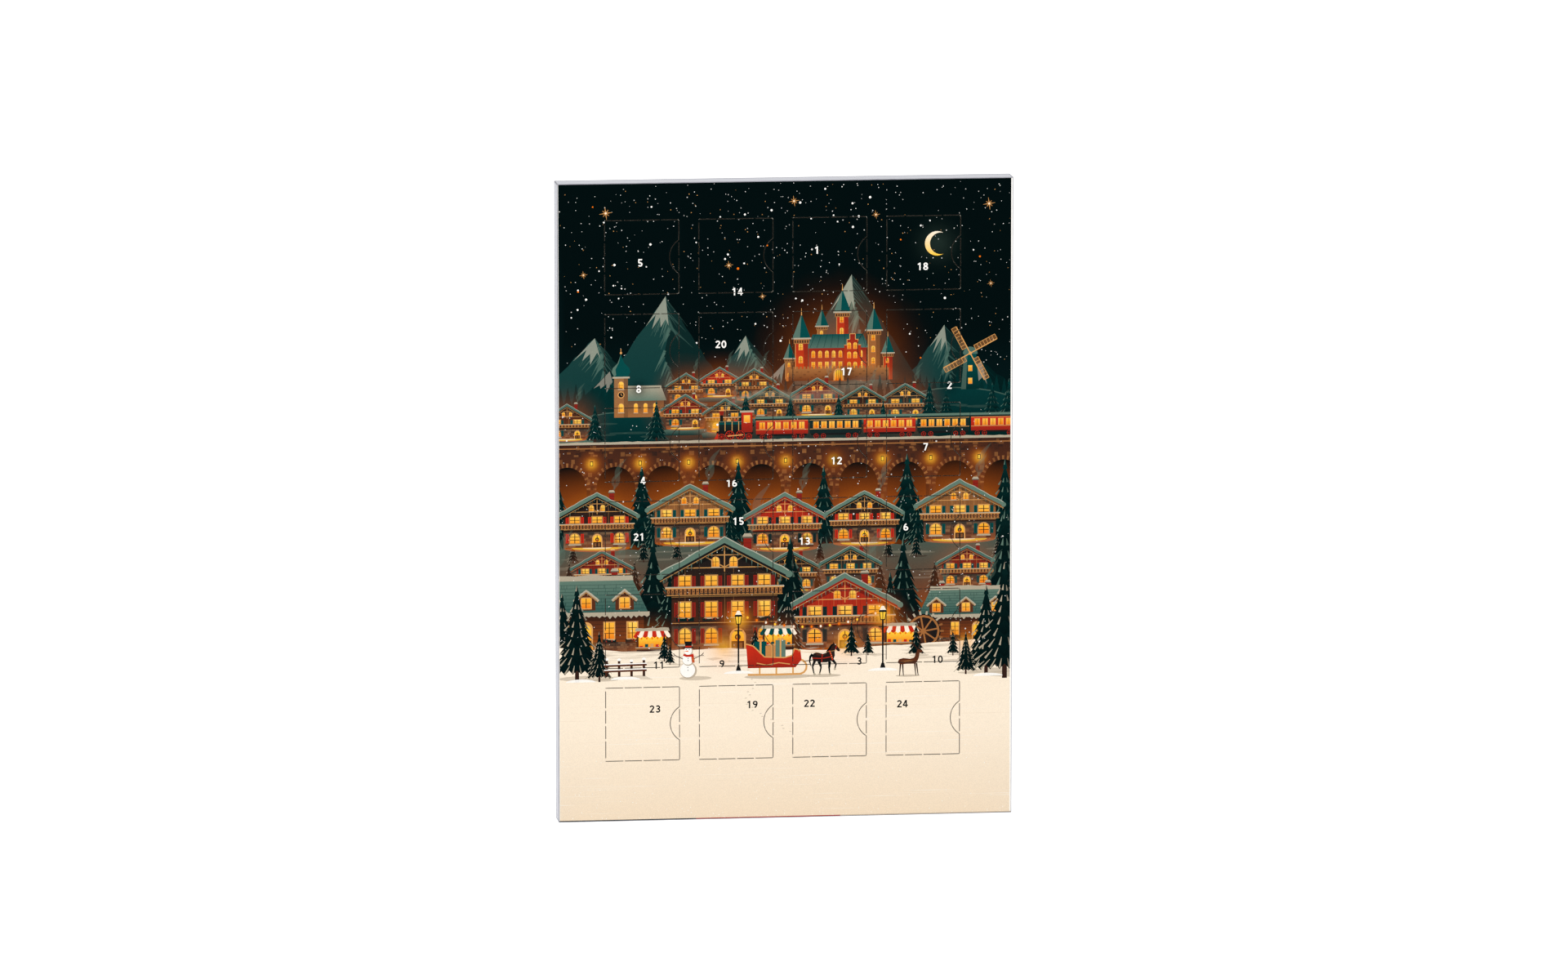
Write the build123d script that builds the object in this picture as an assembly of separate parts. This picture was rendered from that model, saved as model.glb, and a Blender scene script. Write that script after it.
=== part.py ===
"""Chocolate advent calendar: a flat folding-board carton with a printed front.

The front has 24 doors in 6 rows of 4. Each door is creased on its left edge and opens outwards.
Beside its right edge is a half-moon finger tab, creased to the front, that is pressed inwards.
A one-piece thermoformed tray behind the front holds one chocolate behind each door.
The carton is one folded blank: front, back and side walls, a glued seam and sealed ends.

X is the width, Y runs from the front to the back, and Z is up.
The origin is the middle of the surface that the carton stands on. All lengths are in millimetres.
"""

import os
from math import cos, pi, radians, sin, tan

from build123d import *

# Number printed on each door, from the top row down and from left to right
DOOR_NUMBERS = (
    "05 14 01 18",
    "08 20 17 02",
    "04 16 12 07",
    "21 15 13 06",
    "11 09 03 10",
    "23 19 22 24",
)

# Carton and die line of the front
door_side = 40.1
door_web = 10.4
left_border = 25.2
right_border = 28.2
top_border = 19.8
bottom_border = 32.6
carton_depth = 15.0
board = 0.5
fold_radius = 0.35

# Cuts round a door, and the paper ties left across them
kerf = 0.3
door_corner_radius = 0.8
edge_tie_width = 0.85
edge_tie_count = 3
crease_tie_width = 1.4
crease_tie_pitch = 8.35
crease_end_tie = 1.6

# Finger tab
tab_chord = 18.6
tab_sagitta = 5.3
tab_tie_width = 1.2
tab_tie_offset = 4.05
tab_tie_gap = 0.12
tab_travel = 45
tab_clearance = 0.3

# Chocolate pieces
chocolate_side = 30.0
chocolate_thickness = 6.0
chocolate_corner_radius = 3.0
chocolate_edge_radius = 0.5
chocolate_draft = 8
chocolate_rim = 1.8
relief_depth = 0.8

# Thermoformed tray
tray_sheet = 0.4
tray_clearance = 0.3
pocket_margin = 0.6
pocket_corner_radius = 3.6
pocket_draft = 6
chocolate_play = 0.5

# Flaps of the blank
dust_flap_length = 30.0
flap_gap = 0.2
inner_flap_gap = 1.0
seam_flap_width = 14.0
seam_flap_end_gap = 3.0

# A cut runs this far past the faces that it opens.
overrun = 1.0

# Places worked out from those sizes
number_rows = [line.split() for line in DOOR_NUMBERS]
rows = len(number_rows)
columns = len(number_rows[0])
door_pitch = door_side + door_web
carton_width = left_border + columns * door_side + (columns - 1) * door_web + right_border
carton_height = bottom_border + rows * door_side + (rows - 1) * door_web + top_border
front_y = -carton_depth / 2
back_y = carton_depth / 2
front_inner_y = front_y + board
back_inner_y = back_y - board
inner_depth = carton_depth - 2 * board
inner_width = carton_width - 2 * board
end_stack = 3 * board
half_side = door_side / 2

tab_radius = (tab_chord**2 / 4 + tab_sagitta**2) / (2 * tab_sagitta)
tab_arc_centre = half_side - tab_sagitta + tab_radius
finger_room = (tab_sagitta - kerf) * sin(radians(tab_travel)) + tab_clearance
pocket_side = door_side + 2 * pocket_margin
recess_side = chocolate_side + 2 * chocolate_play


def door_centre(row, column):
    """Where the middle of a door lies, in X and Z."""
    x = -carton_width / 2 + left_border + half_side + column * door_pitch
    z = carton_height - top_border - half_side - row * door_pitch
    return x, z


def door_places():
    """Every door's number with its place, from the top row down."""
    return [
        (number_rows[row][column], *door_centre(row, column))
        for row in range(rows)
        for column in range(columns)
    ]


def slab(outline, nearest_y, thickness):
    """An outline drawn in X and Z, made solid from nearest_y towards the back."""
    return extrude(Plane.XZ.offset(-nearest_y - thickness) * outline, thickness)


def block(x_range, y_range, z_range):
    """A box given by its limits on each axis."""
    spans = [high - low for low, high in (x_range, y_range, z_range)]
    middle = [(low + high) / 2 for low, high in (x_range, y_range, z_range)]
    return Pos(*middle) * Box(*spans)


def door_opening():
    """Hole in the front for one door: square at the crease, rounded at the two free corners."""
    square = Rectangle(door_side, door_side)
    free_corners = square.vertices().sort_by(Axis.X)[-2:]
    return fillet(free_corners, door_corner_radius)


def door_outline():
    """Door inside its opening, a kerf away all round, with ties that reach the opening's edge."""
    body = Rectangle(door_side - 2 * kerf, door_side - 2 * kerf)
    free_corners = body.vertices().sort_by(Axis.X)[-2:]
    outline = fillet(free_corners, max(door_corner_radius - kerf, kerf))
    tie_step = door_side / (edge_tie_count + 1)
    for place in range(1, edge_tie_count + 1):
        x = -half_side + place * tie_step
        outline += Pos(x, 0) * Rectangle(edge_tie_width, door_side)
    crease_strip = half_side - 2 * kerf
    for z in (-crease_tie_pitch, 0, crease_tie_pitch):
        outline += Pos(-half_side + crease_strip / 2, z) * Rectangle(crease_strip, crease_tie_width)
    end_z = half_side - kerf - crease_end_tie / 2
    for z in (-end_z, end_z):
        outline += Pos(-half_side + crease_strip / 2, z) * Rectangle(crease_strip, crease_end_tie)
    return outline - Pos(tab_arc_centre, 0) * Circle(tab_radius)


def tab_outline():
    """Half-moon tab between the door's notch and the opening's right edge, where it is creased."""
    disc = Pos(tab_arc_centre, 0) * Circle(tab_radius - kerf)
    ring = Pos(tab_arc_centre, 0) * Circle(tab_radius - tab_tie_gap)
    inside = Pos(half_side - tab_radius, 0) * Rectangle(2 * tab_radius, door_side)
    outline = disc & inside
    for z in (-tab_tie_offset, tab_tie_offset):
        tie = Pos(half_side - tab_radius / 2, z) * Rectangle(tab_radius, tab_tie_width)
        outline += tie & ring
    slit = (tab_chord - crease_tie_width - 2 * crease_end_tie) / 2
    slit_z = (crease_tie_width + slit) / 2
    for z in (-slit_z, slit_z):
        outline -= Pos(half_side, z) * Rectangle(2 * kerf, slit)
    return outline


def front_panel():
    """Front wall of the carton with its 24 openings."""
    middle = carton_height / 2
    outline = Pos(0, middle) * Rectangle(carton_width, carton_height)
    opening = door_opening()
    outline -= [Pos(x, z) * opening for _, x, z in door_places()]
    wall = slab(outline, front_y, board)
    return fillet(outer_edges(wall, front_y), fold_radius)


def back_panel():
    """Back wall of the carton."""
    outline = Pos(0, carton_height / 2) * Rectangle(carton_width, carton_height)
    wall = slab(outline, back_inner_y, board)
    return fillet(outer_edges(wall, back_y), fold_radius)


def outer_edges(wall, y):
    """The four long edges of a wall's outer face, where the blank is folded."""
    face = wall.faces().filter_by(Axis.Y).sort_by(lambda each: abs(each.center().Y - y))[0]
    return face.outer_wire().edges()


def side_panel(side):
    """Side wall between front and back. side is -1 for the left wall and 1 for the right."""
    outer_x = side * carton_width / 2
    inner_x = outer_x - side * board
    x_range = (min(outer_x, inner_x), max(outer_x, inner_x))
    return block(x_range, (front_inner_y, back_inner_y), (0, carton_height))


def seam_flap():
    """Flap of the right side wall, glued inside the back wall."""
    outer_x = inner_width / 2
    low_z = end_stack + seam_flap_end_gap
    x_range = (outer_x - seam_flap_width, outer_x)
    return block(x_range, (back_inner_y - board, back_inner_y), (low_z, carton_height - low_z))


def end_layer(end, layer):
    """Limits in Z of one board layer of an end, counted from outside. end is 0 below and 1 on top."""
    low = layer * board
    if end:
        low = carton_height - (layer + 1) * board
    return low, low + board


def outer_flap(end):
    """Outermost end flap, creased to the back wall and glued down; its free edge is at the front."""
    half = inner_width / 2
    return block((-half, half), (front_inner_y + flap_gap, back_inner_y), end_layer(end, 0))


def inner_flap(end):
    """Flap under the outer one, creased to the front wall."""
    half = inner_width / 2 - inner_flap_gap
    y_range = (front_inner_y, back_inner_y - inner_flap_gap)
    return block((-half, half), y_range, end_layer(end, 1))


def dust_flaps():
    """The four short flaps of the side walls, innermost at each end."""
    flaps = []
    for end in (0, 1):
        for side in (-1, 1):
            outer_x = side * inner_width / 2
            inner_x = outer_x - side * dust_flap_length
            x_range = (min(outer_x, inner_x), max(outer_x, inner_x))
            y_range = (front_inner_y + flap_gap, back_inner_y - flap_gap)
            flaps.append(block(x_range, y_range, end_layer(end, 2)))
    return flaps


def tapered_well(side, corner_radius, depth, grow):
    """Straight-drafted well open to the front, with its mouth at y = 0. grow widens it all round."""
    mouth = RectangleRounded(side + 2 * grow, side + 2 * grow, corner_radius + grow)
    return extrude(Plane.XZ * mouth, -depth, taper=pocket_draft)


def pocket(grow, skin):
    """Stepped pocket: finger room above, chocolate recess below. skin is what its floors gain."""
    ledge_y = finger_room + skin
    recess_depth = chocolate_thickness
    recess_mouth = recess_side + 2 * recess_depth * tan(radians(pocket_draft))
    upper = tapered_well(pocket_side, pocket_corner_radius, ledge_y, grow)
    lower = tapered_well(recess_mouth, chocolate_corner_radius, recess_depth, grow)
    return upper + Pos(0, ledge_y, 0) * lower


def tray():
    """Thermoformed tray: a flange behind the front, a skirt to the back and 24 stepped pockets."""
    half_width = inner_width / 2 - tray_clearance
    z_range = (end_stack + tray_clearance, carton_height - end_stack - tray_clearance)
    flange_y = (front_inner_y, front_inner_y + tray_sheet)
    skirt_y = (front_inner_y, back_inner_y - board - tray_clearance)
    shell = block((-half_width, half_width), skirt_y, z_range)
    inside_x = (tray_sheet - half_width, half_width - tray_sheet)
    inside_z = (z_range[0] + tray_sheet, z_range[1] - tray_sheet)
    shell -= block(inside_x, (flange_y[1], skirt_y[1] + overrun), inside_z)
    outside, inside = pocket(tray_sheet, tray_sheet), pocket(0, 0)
    places = [Pos(x, front_inner_y, z) for _, x, z in door_places()]
    shell += [place * outside for place in places]
    return shell - [place * inside for place in places]


def star_points(points, outer, inner):
    """Corners of a star with its first point up."""
    step = pi / points
    radii = [outer if corner % 2 == 0 else inner for corner in range(2 * points)]
    return [(r * sin(i * step), r * cos(i * step)) for i, r in enumerate(radii)]


def relief_star(size):
    """Five-pointed star."""
    return Polygon(*star_points(5, size / 2, size / 5), align=None)


def relief_snowflake(size):
    """Six-armed snowflake of crossed bars and small arrow tips."""
    bar = size / 9
    shape = Circle(size / 6)
    for turn in range(0, 180, 60):
        shape += Rot(0, 0, turn) * Rectangle(bar, size)
    for turn in range(0, 360, 60):
        shape += Rot(0, 0, turn) * Pos(0, size / 3) * Rot(0, 0, 45) * Rectangle(size / 5, size / 5)
    return shape


def relief_tree(size):
    """Fir tree of three tiers on a trunk."""
    shape = Pos(0, -size * 2 / 5) * Rectangle(size / 7, size / 5)
    for tier in range(3):
        width = size * (4 + 2 * tier) / 10
        top = size / 2 - tier * size / 4
        low = top - size * 3 / 8
        shape += Polygon((0, top), (width / 2, low), (-width / 2, low), align=None)
    return shape


def relief_heart(size):
    """Heart of two round lobes over a point."""
    lobe = size / 4
    point = Polygon((-lobe * 1.72, lobe * 0.3), (lobe * 1.72, lobe * 0.3), (0, -size / 2), align=None)
    shape = Circle(lobe)
    return point + Pos(-lobe * 0.9, lobe * 0.8) * shape + Pos(lobe * 0.9, lobe * 0.8) * shape


RELIEFS = [relief_star, relief_tree, relief_snowflake, relief_heart]


def chocolate_piece(relief):
    """Moulded piece with its base at y = 0: a drafted block, a raised rim and a raised motif."""
    base = RectangleRounded(chocolate_side, chocolate_side, chocolate_corner_radius)
    piece = extrude(Plane.XZ * base, chocolate_thickness, taper=chocolate_draft)
    top = piece.faces().sort_by(Axis.Y)[0]
    piece = fillet(top.edges(), chocolate_edge_radius)
    top_side = chocolate_side - 2 * chocolate_thickness * tan(radians(chocolate_draft))
    field_side = top_side - 2 * chocolate_rim
    field = RectangleRounded(field_side, field_side, chocolate_corner_radius - chocolate_rim / 2)
    motif = relief(field_side - 2 * chocolate_rim)
    return piece - slab(field - motif, -chocolate_thickness - overrun, relief_depth + overrun)


def chocolates():
    """One piece on the floor of each pocket; the motifs take turns."""
    floor_y = front_inner_y + finger_room + chocolate_thickness
    pieces = [chocolate_piece(relief) for relief in RELIEFS]
    return [
        Pos(x, floor_y, z) * pieces[int(number) % len(pieces)] for number, x, z in door_places()
    ]


def build():
    """Every node of the calendar by name."""
    door = slab(door_outline(), front_y, board)
    tab = slab(tab_outline(), front_y, board)
    nodes = {
        "front_panel": front_panel(),
        "back_panel": back_panel(),
        "left_side_panel": side_panel(-1),
        "right_side_panel": side_panel(1),
        "seam_glue_flap": seam_flap(),
        "top_outer_flap": outer_flap(1),
        "top_inner_flap": inner_flap(1),
        "bottom_outer_flap": outer_flap(0),
        "bottom_inner_flap": inner_flap(0),
        "dust_flaps": Compound(dust_flaps()),
        "chocolate_tray": tray(),
        "chocolates": Compound(chocolates()),
    }
    for number, x, z in door_places():
        nodes[f"door_{number}"] = Pos(x, 0, z) * door
        nodes[f"finger_tab_{number}"] = Pos(x, 0, z) * tab
    return nodes


os.makedirs("parts", exist_ok=True)
for name, shape in build().items():
    export_step(shape, f"parts/{name}.step")
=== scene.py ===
"""Chocolate advent calendar: the looks of the carton, its printed front, the tray and the chocolates.

The printed front is one picture of flat inks. Its shapes are laid over one another, cut up along
the die line, and handed to the front panel, the 24 doors and the 24 finger tabs, so that the
picture runs on across every cut. A picture unit is one millimetre on the real front.
"""

import functools
import math
import random

import bpy
import numpy as np
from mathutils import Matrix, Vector
from mathutils.geometry import delaunay_2d_cdt, tessellate_polygon


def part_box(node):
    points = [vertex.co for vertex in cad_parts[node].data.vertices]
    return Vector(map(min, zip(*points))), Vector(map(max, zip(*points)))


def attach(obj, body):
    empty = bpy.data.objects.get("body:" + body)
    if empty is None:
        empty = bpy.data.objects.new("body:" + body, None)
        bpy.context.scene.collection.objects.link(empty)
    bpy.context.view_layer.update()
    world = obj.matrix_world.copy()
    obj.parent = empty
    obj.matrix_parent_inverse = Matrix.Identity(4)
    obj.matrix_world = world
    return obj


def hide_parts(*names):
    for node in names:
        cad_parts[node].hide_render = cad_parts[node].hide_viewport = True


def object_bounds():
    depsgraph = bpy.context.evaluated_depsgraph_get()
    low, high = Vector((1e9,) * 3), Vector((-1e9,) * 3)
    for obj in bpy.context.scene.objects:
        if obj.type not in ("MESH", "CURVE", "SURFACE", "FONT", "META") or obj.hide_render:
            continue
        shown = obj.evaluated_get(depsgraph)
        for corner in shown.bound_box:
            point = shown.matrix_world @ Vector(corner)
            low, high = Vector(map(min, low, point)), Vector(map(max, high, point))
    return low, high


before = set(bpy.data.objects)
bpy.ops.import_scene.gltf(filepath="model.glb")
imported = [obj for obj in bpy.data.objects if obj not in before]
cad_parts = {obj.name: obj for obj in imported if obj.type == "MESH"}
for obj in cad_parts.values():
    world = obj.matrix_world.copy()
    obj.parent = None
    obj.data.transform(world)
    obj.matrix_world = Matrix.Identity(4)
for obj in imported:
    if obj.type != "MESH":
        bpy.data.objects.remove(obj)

bl_info = {
    "name": "Advent Calendar",
    "version": (1, 0, 0),
    "blender": (4, 5, 0),
    "location": "3D View > Sidebar > Calendar",
    "description": "Builds the printed front, doors, tray and chocolates of an advent calendar",
    "category": "Add Mesh",
}

CAD_BOX = [list(corner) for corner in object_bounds()]
MIDDLE = (Vector(CAD_BOX[0]) + Vector(CAD_BOX[1])) / 2
MM = 0.001
BLACK, WHITE = (0, 0, 0), (1, 1, 1)

# Places of the front, read from the frame
FRONT_LOW, FRONT_HIGH = (Vector(corner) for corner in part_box("front_panel"))
FRONT_Y, BOARD = FRONT_LOW.y, FRONT_HIGH.y - FRONT_LOW.y
WIDE, HIGH = (FRONT_HIGH.x - FRONT_LOW.x) / MM, (FRONT_HIGH.z - FRONT_LOW.z) / MM
DOOR_NODES = sorted(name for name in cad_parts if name.startswith("door_"))
COATED_NODES = "back_panel", "left_side_panel", "right_side_panel", "top_outer_flap", "bottom_outer_flap"
REVERSE_NODES = "seam_glue_flap", "top_inner_flap", "bottom_inner_flap", "dust_flaps"

# Where each number stands on the front, in pixels of a 1920 by 1200 picture, and that picture's scale
FRONT_LEFT_PIXEL, FRONT_BOTTOM_PIXEL, UNITS_PER_PIXEL = 685.5, 1005.5, 0.4414
NUMBER_PIXELS = {
    5: (786, 321), 14: (904, 358), 1: (1001, 309), 18: (1130, 331),
    8: (784, 475), 20: (884, 422), 17: (1037, 458), 2: (1163, 477),
    4: (789, 587), 16: (897, 592), 12: (1025, 567), 7: (1134, 552),
    21: (784, 656), 15: (905, 639), 13: (986, 665), 6: (1110, 650),
    11: (808, 814), 9: (885, 814), 3: (1053, 814), 10: (1149, 814),
    23: (803, 868), 19: (922, 865), 22: (992, 865), 24: (1106, 868),
}
DARK_NUMBERS = {11, 9, 3, 10, 23, 19, 22, 24}

# The print: unprinted edges at left and right, line along the bottom, finest line, and flakes
PLAIN_EDGES = ((0, 0.6), (WIDE - 1.1, 1.1))
BOTTOM_LINE, HAIRLINE = 0.8, 0.3
SEED, FAR_FLAKES, BIG_FLAKES, NEAR_FLAKES = 24, 1020, 90, 460

# How near two places are one, a point repeats or an edge runs straight on, and how a halo thins out
SAME_PLACE, REPEATED, STRAIGHT, HALO_FALL = 1e-3, 1e-4, 1e-5, 2.5

# Factors of the numbers that tell apart what shows
PIECE_FACTOR, SHAPE_FACTOR = np.uint64(97), np.uint64(1000003)

# Share at which the distance from the rear folds counts, so that the painted fold shade reaches further in
# from them, and the part of a noise that is put to use
REAR_FOLD_SHARE, NOISE_MIDDLE = 0.3, (0.3, 0.7)

# Shares of the layout square that the printed face and the rest of a piece take
FACE_SHARE, REST_SHARE = (0.68, 0.98), 0.28

# Stage
VIEW_AZIMUTH, VIEW_ELEVATION = -7.0, 9.0
LENS, SENSOR = 260.0, 36.0
FRAME_WIDTH = 0.840
AIM_ABOVE_MIDDLE = 0.0045
FLOOR_REACH = 6.0
FLOOR_DROP = 0.0002
FLOOR_WHITENING = 0.62
WORLD_LIGHT = 0.6
LAMP_AIM = Vector((0, 0, 0.17))
LAMPS = (("key", (-1.1, -1.7, 1.5), 1.6, 22), ("fill", (1.6, -1.6, 0.9), 1.8, 9))


def linear(*srgb):
    """A colour written as 0 to 255 screen values, in Blender's linear values."""
    shares = [value / 255 for value in srgb]
    return tuple(s / 12.92 if s <= 0.04045 else ((s + 0.055) / 1.055) ** 2.4 for s in shares)


def swatch(name, description, *srgb):
    """A colour that the user may change."""
    return bpy.props.FloatVectorProperty(
        name=name, description=description, default=linear(*srgb), subtype="COLOR", min=0, max=1
    )


def measure(name, description, millimetres):
    """A length that the user may change, kept in metres."""
    return bpy.props.FloatProperty(
        name=name, description=description, default=millimetres * MM, min=0, unit="LENGTH"
    )


class DieLine(bpy.types.PropertyGroup):
    """Sizes of the cuts, ties and folds of the front."""

    kerf: measure("Kerf", "Width of a cut round a door", 0.3)
    corner: measure("Door corner", "Radius of the opening's two free corners", 0.8)
    edge_tie: measure("Edge tie", "Width of a paper tie across the upper and lower cuts", 0.85)
    crease_tie: measure("Crease tie", "Width of a tie along the crease", 1.4)
    crease_pitch: measure("Crease pitch", "Distance between the ties along the crease", 8.35)
    end_tie: measure("End tie", "Length of the tie at each end of the crease", 1.6)
    tab_chord: measure("Tab chord", "Height of the finger tab's opening at its crease", 18.6)
    tab_sagitta: measure("Tab depth", "How far the finger tab reaches into the door", 5.3)
    tab_tie: measure("Tab tie", "Width of a tie between tab and door", 1.2)
    tab_tie_offset: measure("Tab tie offset", "Height of a tab tie from the tab's middle", 4.05)
    tab_tie_gap: measure("Tab tie gap", "Gap left between a tab tie and the door", 0.12)
    hair: measure("Hair gap", "Gap left at a crease, so that door and panel don't rub", 0.02)
    # the lip also sets the width of the painted shade laid along each cut
    lip: measure("Lip", "Width of the board pressed down beside a cut", 0.13)
    fold: measure("Fold radius", "Rounding of the front's outer folds", 0.35)


class PrintInks(bpy.types.PropertyGroup):
    """Inks of the printed front."""

    night: swatch("Night", "Sky and the deepest shadows", 0, 10, 11)
    dusk: swatch("Dusk", "Sky above the mountains", 3, 26, 28)
    teal: swatch("Teal", "Shutters and far mountains", 5, 72, 70)
    sage: swatch("Sage", "Snow seen in shade", 94, 120, 106)
    pine: swatch("Pine", "Firs", 4, 30, 29)
    brick: swatch("Brick", "Red walls", 194, 44, 26)
    timber: swatch("Timber", "Planks and beams", 88, 46, 28)
    ochre: swatch("Ochre", "Lit plaster", 196, 132, 74)
    stone: swatch("Stone", "Masonry", 92, 84, 72)
    charcoal: swatch("Charcoal", "Dark walls and dark numbers", 24, 25, 25)
    amber: swatch("Amber", "Upper part of a lit window", 255, 204, 62)
    ember: swatch("Ember", "Lower part of a lit window", 242, 116, 16)
    gold: swatch("Gold", "Outlines and stars", 216, 158, 92)
    snow: swatch("Snow", "Snow in light", 253, 237, 214)
    snow_shade: swatch("Snow shade", "Foot of the snowfield", 240, 221, 195)
    paper_white: swatch("White", "Snowflakes and white numbers", 255, 252, 246)


class BoardAndSweets(bpy.types.PropertyGroup):
    """Colours of what isn't printed."""

    board: swatch("Board", "Coated outside of the carton", 222, 223, 230)
    # Fold is the colour of the painted shade along the carton's folds
    fold: swatch("Fold", "Scored folds of the carton", 104, 103, 114)
    core: swatch("Board core", "Cut edge of the board", 108, 100, 90)
    reverse: swatch("Board reverse", "Uncoated inside of the board", 206, 200, 188)
    tray: swatch("Tray", "Thermoformed sheet", 232, 224, 208)
    chocolate: swatch("Chocolate", "Milk chocolate", 102, 53, 27)


def mix(one, other, share):
    """A colour or a place between two, share of the way from one to the other."""
    return tuple(a + (b - a) * share for a, b in zip(one, other))


TINTS = {
    "haze": ("dusk", "teal", 0.42),
    "gloom": ("night", "teal", 0.3),
    "forest": ("pine", "teal", 0.22),
    "needle": ("pine", "teal", 0.45),
    "frost": ("sage", "teal", 0.35),
    "snow_grey": ("sage", "snow", 0.35),
    "evening": ("snow_grey", "ochre", 0.2),
    "rust": ("brick", "charcoal", 0.55),
    "bark": ("timber", "charcoal", 0.72),
    "larch": ("timber", "ochre", 0.4),
    "slate": ("charcoal", "teal", 0.25),
    "rock": ("stone", "charcoal", 0.6),
    "stone_lit": ("stone", "ochre", 0.4),
    "tan": ("ochre", "timber", 0.45),
    "shadow": ("snow_shade", "stone", 0.45),
}


def palette(inks):
    """The inks and the tints mixed from them, by name."""
    found = {name: tuple(getattr(inks, name)) for name in PrintInks.__annotations__}
    for name, (one, other, share) in TINTS.items():
        found[name] = mix(found[one], found[other], share)
    return found


# Outlines in picture units


def rect(u, v, width, height):
    """Rectangle from its lower left corner."""
    return [(u, v), (u + width, v), (u + width, v + height), (u, v + height)]


def ellipse(u, v, radius, squash=1.0, sides=12, start=0.0, stop=360.0):
    """Ellipse, or a stretch of one, counted in degrees from the right."""
    whole = stop - start >= 360
    steps = sides if whole else sides + 1
    turns = [math.radians(start + (stop - start) * i / sides) for i in range(steps)]
    return [(u + radius * math.cos(t), v + radius * squash * math.sin(t)) for t in turns]


def polar(degrees, reach=1.0):
    """Place at a turn and a reach from the origin."""
    return reach * math.cos(math.radians(degrees)), reach * math.sin(math.radians(degrees))


def arch(u, v, width, height):
    """Opening with a round head."""
    half = width / 2
    return [(u, v), (u + width, v), *ellipse(u + half, v + height - half, half, 1.0, 8, 0, 180)]


def strip(start, end, width, end_width=None):
    """Straight stroke from start to end, which may taper."""
    end_width = width if end_width is None else end_width
    du, dv = end[0] - start[0], end[1] - start[1]
    length = math.hypot(du, dv) or 1.0
    nu, nv = -dv / length / 2, du / length / 2
    return [
        (start[0] - nu * width, start[1] - nv * width),
        (end[0] - nu * end_width, end[1] - nv * end_width),
        (end[0] + nu * end_width, end[1] + nv * end_width),
        (start[0] + nu * width, start[1] + nv * width),
    ]


def ribbon(path, width, end_width=None, swell=False):
    """Stroke along a smooth path, as one outline. With swell, it is thin at both ends."""
    end_width = width if end_width is None else end_width
    left, right = [], []
    for i, (u, v) in enumerate(path):
        share = i / (len(path) - 1)
        before, after = path[max(i - 1, 0)], path[min(i + 1, len(path) - 1)]
        du, dv = after[0] - before[0], after[1] - before[1]
        reach = (width + (end_width - width) * share) / 2 / math.hypot(du, dv)
        if swell:
            reach *= 0.04 + math.sin(math.pi * share)
        left.append((u - dv * reach, v + du * reach))
        right.append((u + dv * reach, v - du * reach))
    return left + right[::-1]


class Picture:
    """Flat shapes, each laid over the ones before it, drawn from an origin at a scale.

    A motif that takes no place is drawn from the origin, one unit wide or high. An ink is named, as in
    the palette, or given as a colour.
    """

    def __init__(self, inks, rng, shapes, u=0.0, v=0.0, size=1.0):
        self.inks, self.rng, self.shapes, self.u, self.v, self.size = inks, rng, shapes, u, v, size
        self.hair = HAIRLINE / size

    def at(self, u, v, size=1.0):
        """The same picture, drawn on from another origin at another scale."""
        return Picture(self.inks, self.rng, self.shapes, *self.spot((u, v)), self.size * size)

    def spot(self, point):
        """A point's place on the front."""
        return self.u + self.size * point[0], self.v + self.size * point[1]

    def mix(self, one, other, share):
        """An ink between two."""
        return mix(self.inks.get(one, one), self.inks.get(other, other), share)

    def vary(self, low, high):
        """A random number between two."""
        return self.rng.uniform(low, high)

    def chance(self, share):
        """True in a share of all cases."""
        return self.rng.random() < share

    def broken(self, points, rough, pitch=5.0):
        """Line through the given points, with uneven steps between them."""
        line = [points[0]]
        for start, end in zip(points, points[1:]):
            steps = max(2, int(math.hypot(end[0] - start[0], end[1] - start[1]) / pitch))
            for i in range(1, steps):
                u, v = mix(start, end, i / steps)
                line.append((u, v + self.vary(-rough, rough)))
            line.append(end)
        return line

    def paint(self, ink, *loops, cover=1.0, fade=None, halo=None):
        """Lays an ink inside the loops.

        fade is (ink above, low v, high v) for an upward blend. halo is (u, v, reach) for an ink that
        thins out to nothing at that reach.
        """
        if fade:
            above, low, high = fade
            fade = (self.inks.get(above, above), self.spot((0, low))[1], self.spot((0, high))[1])
        if halo:
            halo = (*self.spot(halo[:2]), halo[2] * self.size)
        placed = [[self.spot(point) for point in loop] for loop in loops]
        self.shapes.append((placed, self.inks.get(ink, ink), cover, fade, halo))

    def box(self, ink, u, v, width, height, **how):
        """A rectangle from its lower left corner."""
        self.paint(ink, rect(u, v, width, height), **how)

    def dot(self, ink, u, v, radius, squash=1.0, sides=12, **how):
        """A whole ellipse."""
        self.paint(ink, ellipse(u, v, radius, squash, sides), **how)

    def line(self, ink, path, width, cover=1.0):
        """Straight strokes along a path."""
        for start, end in zip(path, path[1:]):
            self.paint(ink, strip(start, end, width), cover=cover)

    def glow(self, ink, u, v, reach, cover=0.6):
        """Soft light round a lamp. The inner rings only give the light its even fall."""
        for share in (0.2, 0.4, 0.6, 0.8):
            self.dot(ink, u, v, reach * share, sides=14, cover=0)
        self.dot(ink, u, v, reach, sides=20, cover=cover, halo=(u, v, reach))


# Sky and mountains


def stars(art):
    """Small snowflakes all over the night, with a few larger ones and some warm ones."""
    for _ in range(FAR_FLAKES):
        u, v = art.vary(1, WIDE - 1), art.vary(214, HIGH - 1)
        tint = "gold" if art.chance(0.22) else "paper_white"
        art.dot(tint, u, v, art.vary(0.14, 0.32), sides=5, cover=art.vary(0.45, 1.0))
    for _ in range(BIG_FLAKES):
        u, v = art.vary(4, WIDE - 4), art.vary(222, HIGH - 4)
        tint = "ember" if art.chance(0.08) else "paper_white"
        art.dot(tint, u, v, art.vary(0.4, 0.68), sides=8)


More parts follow.
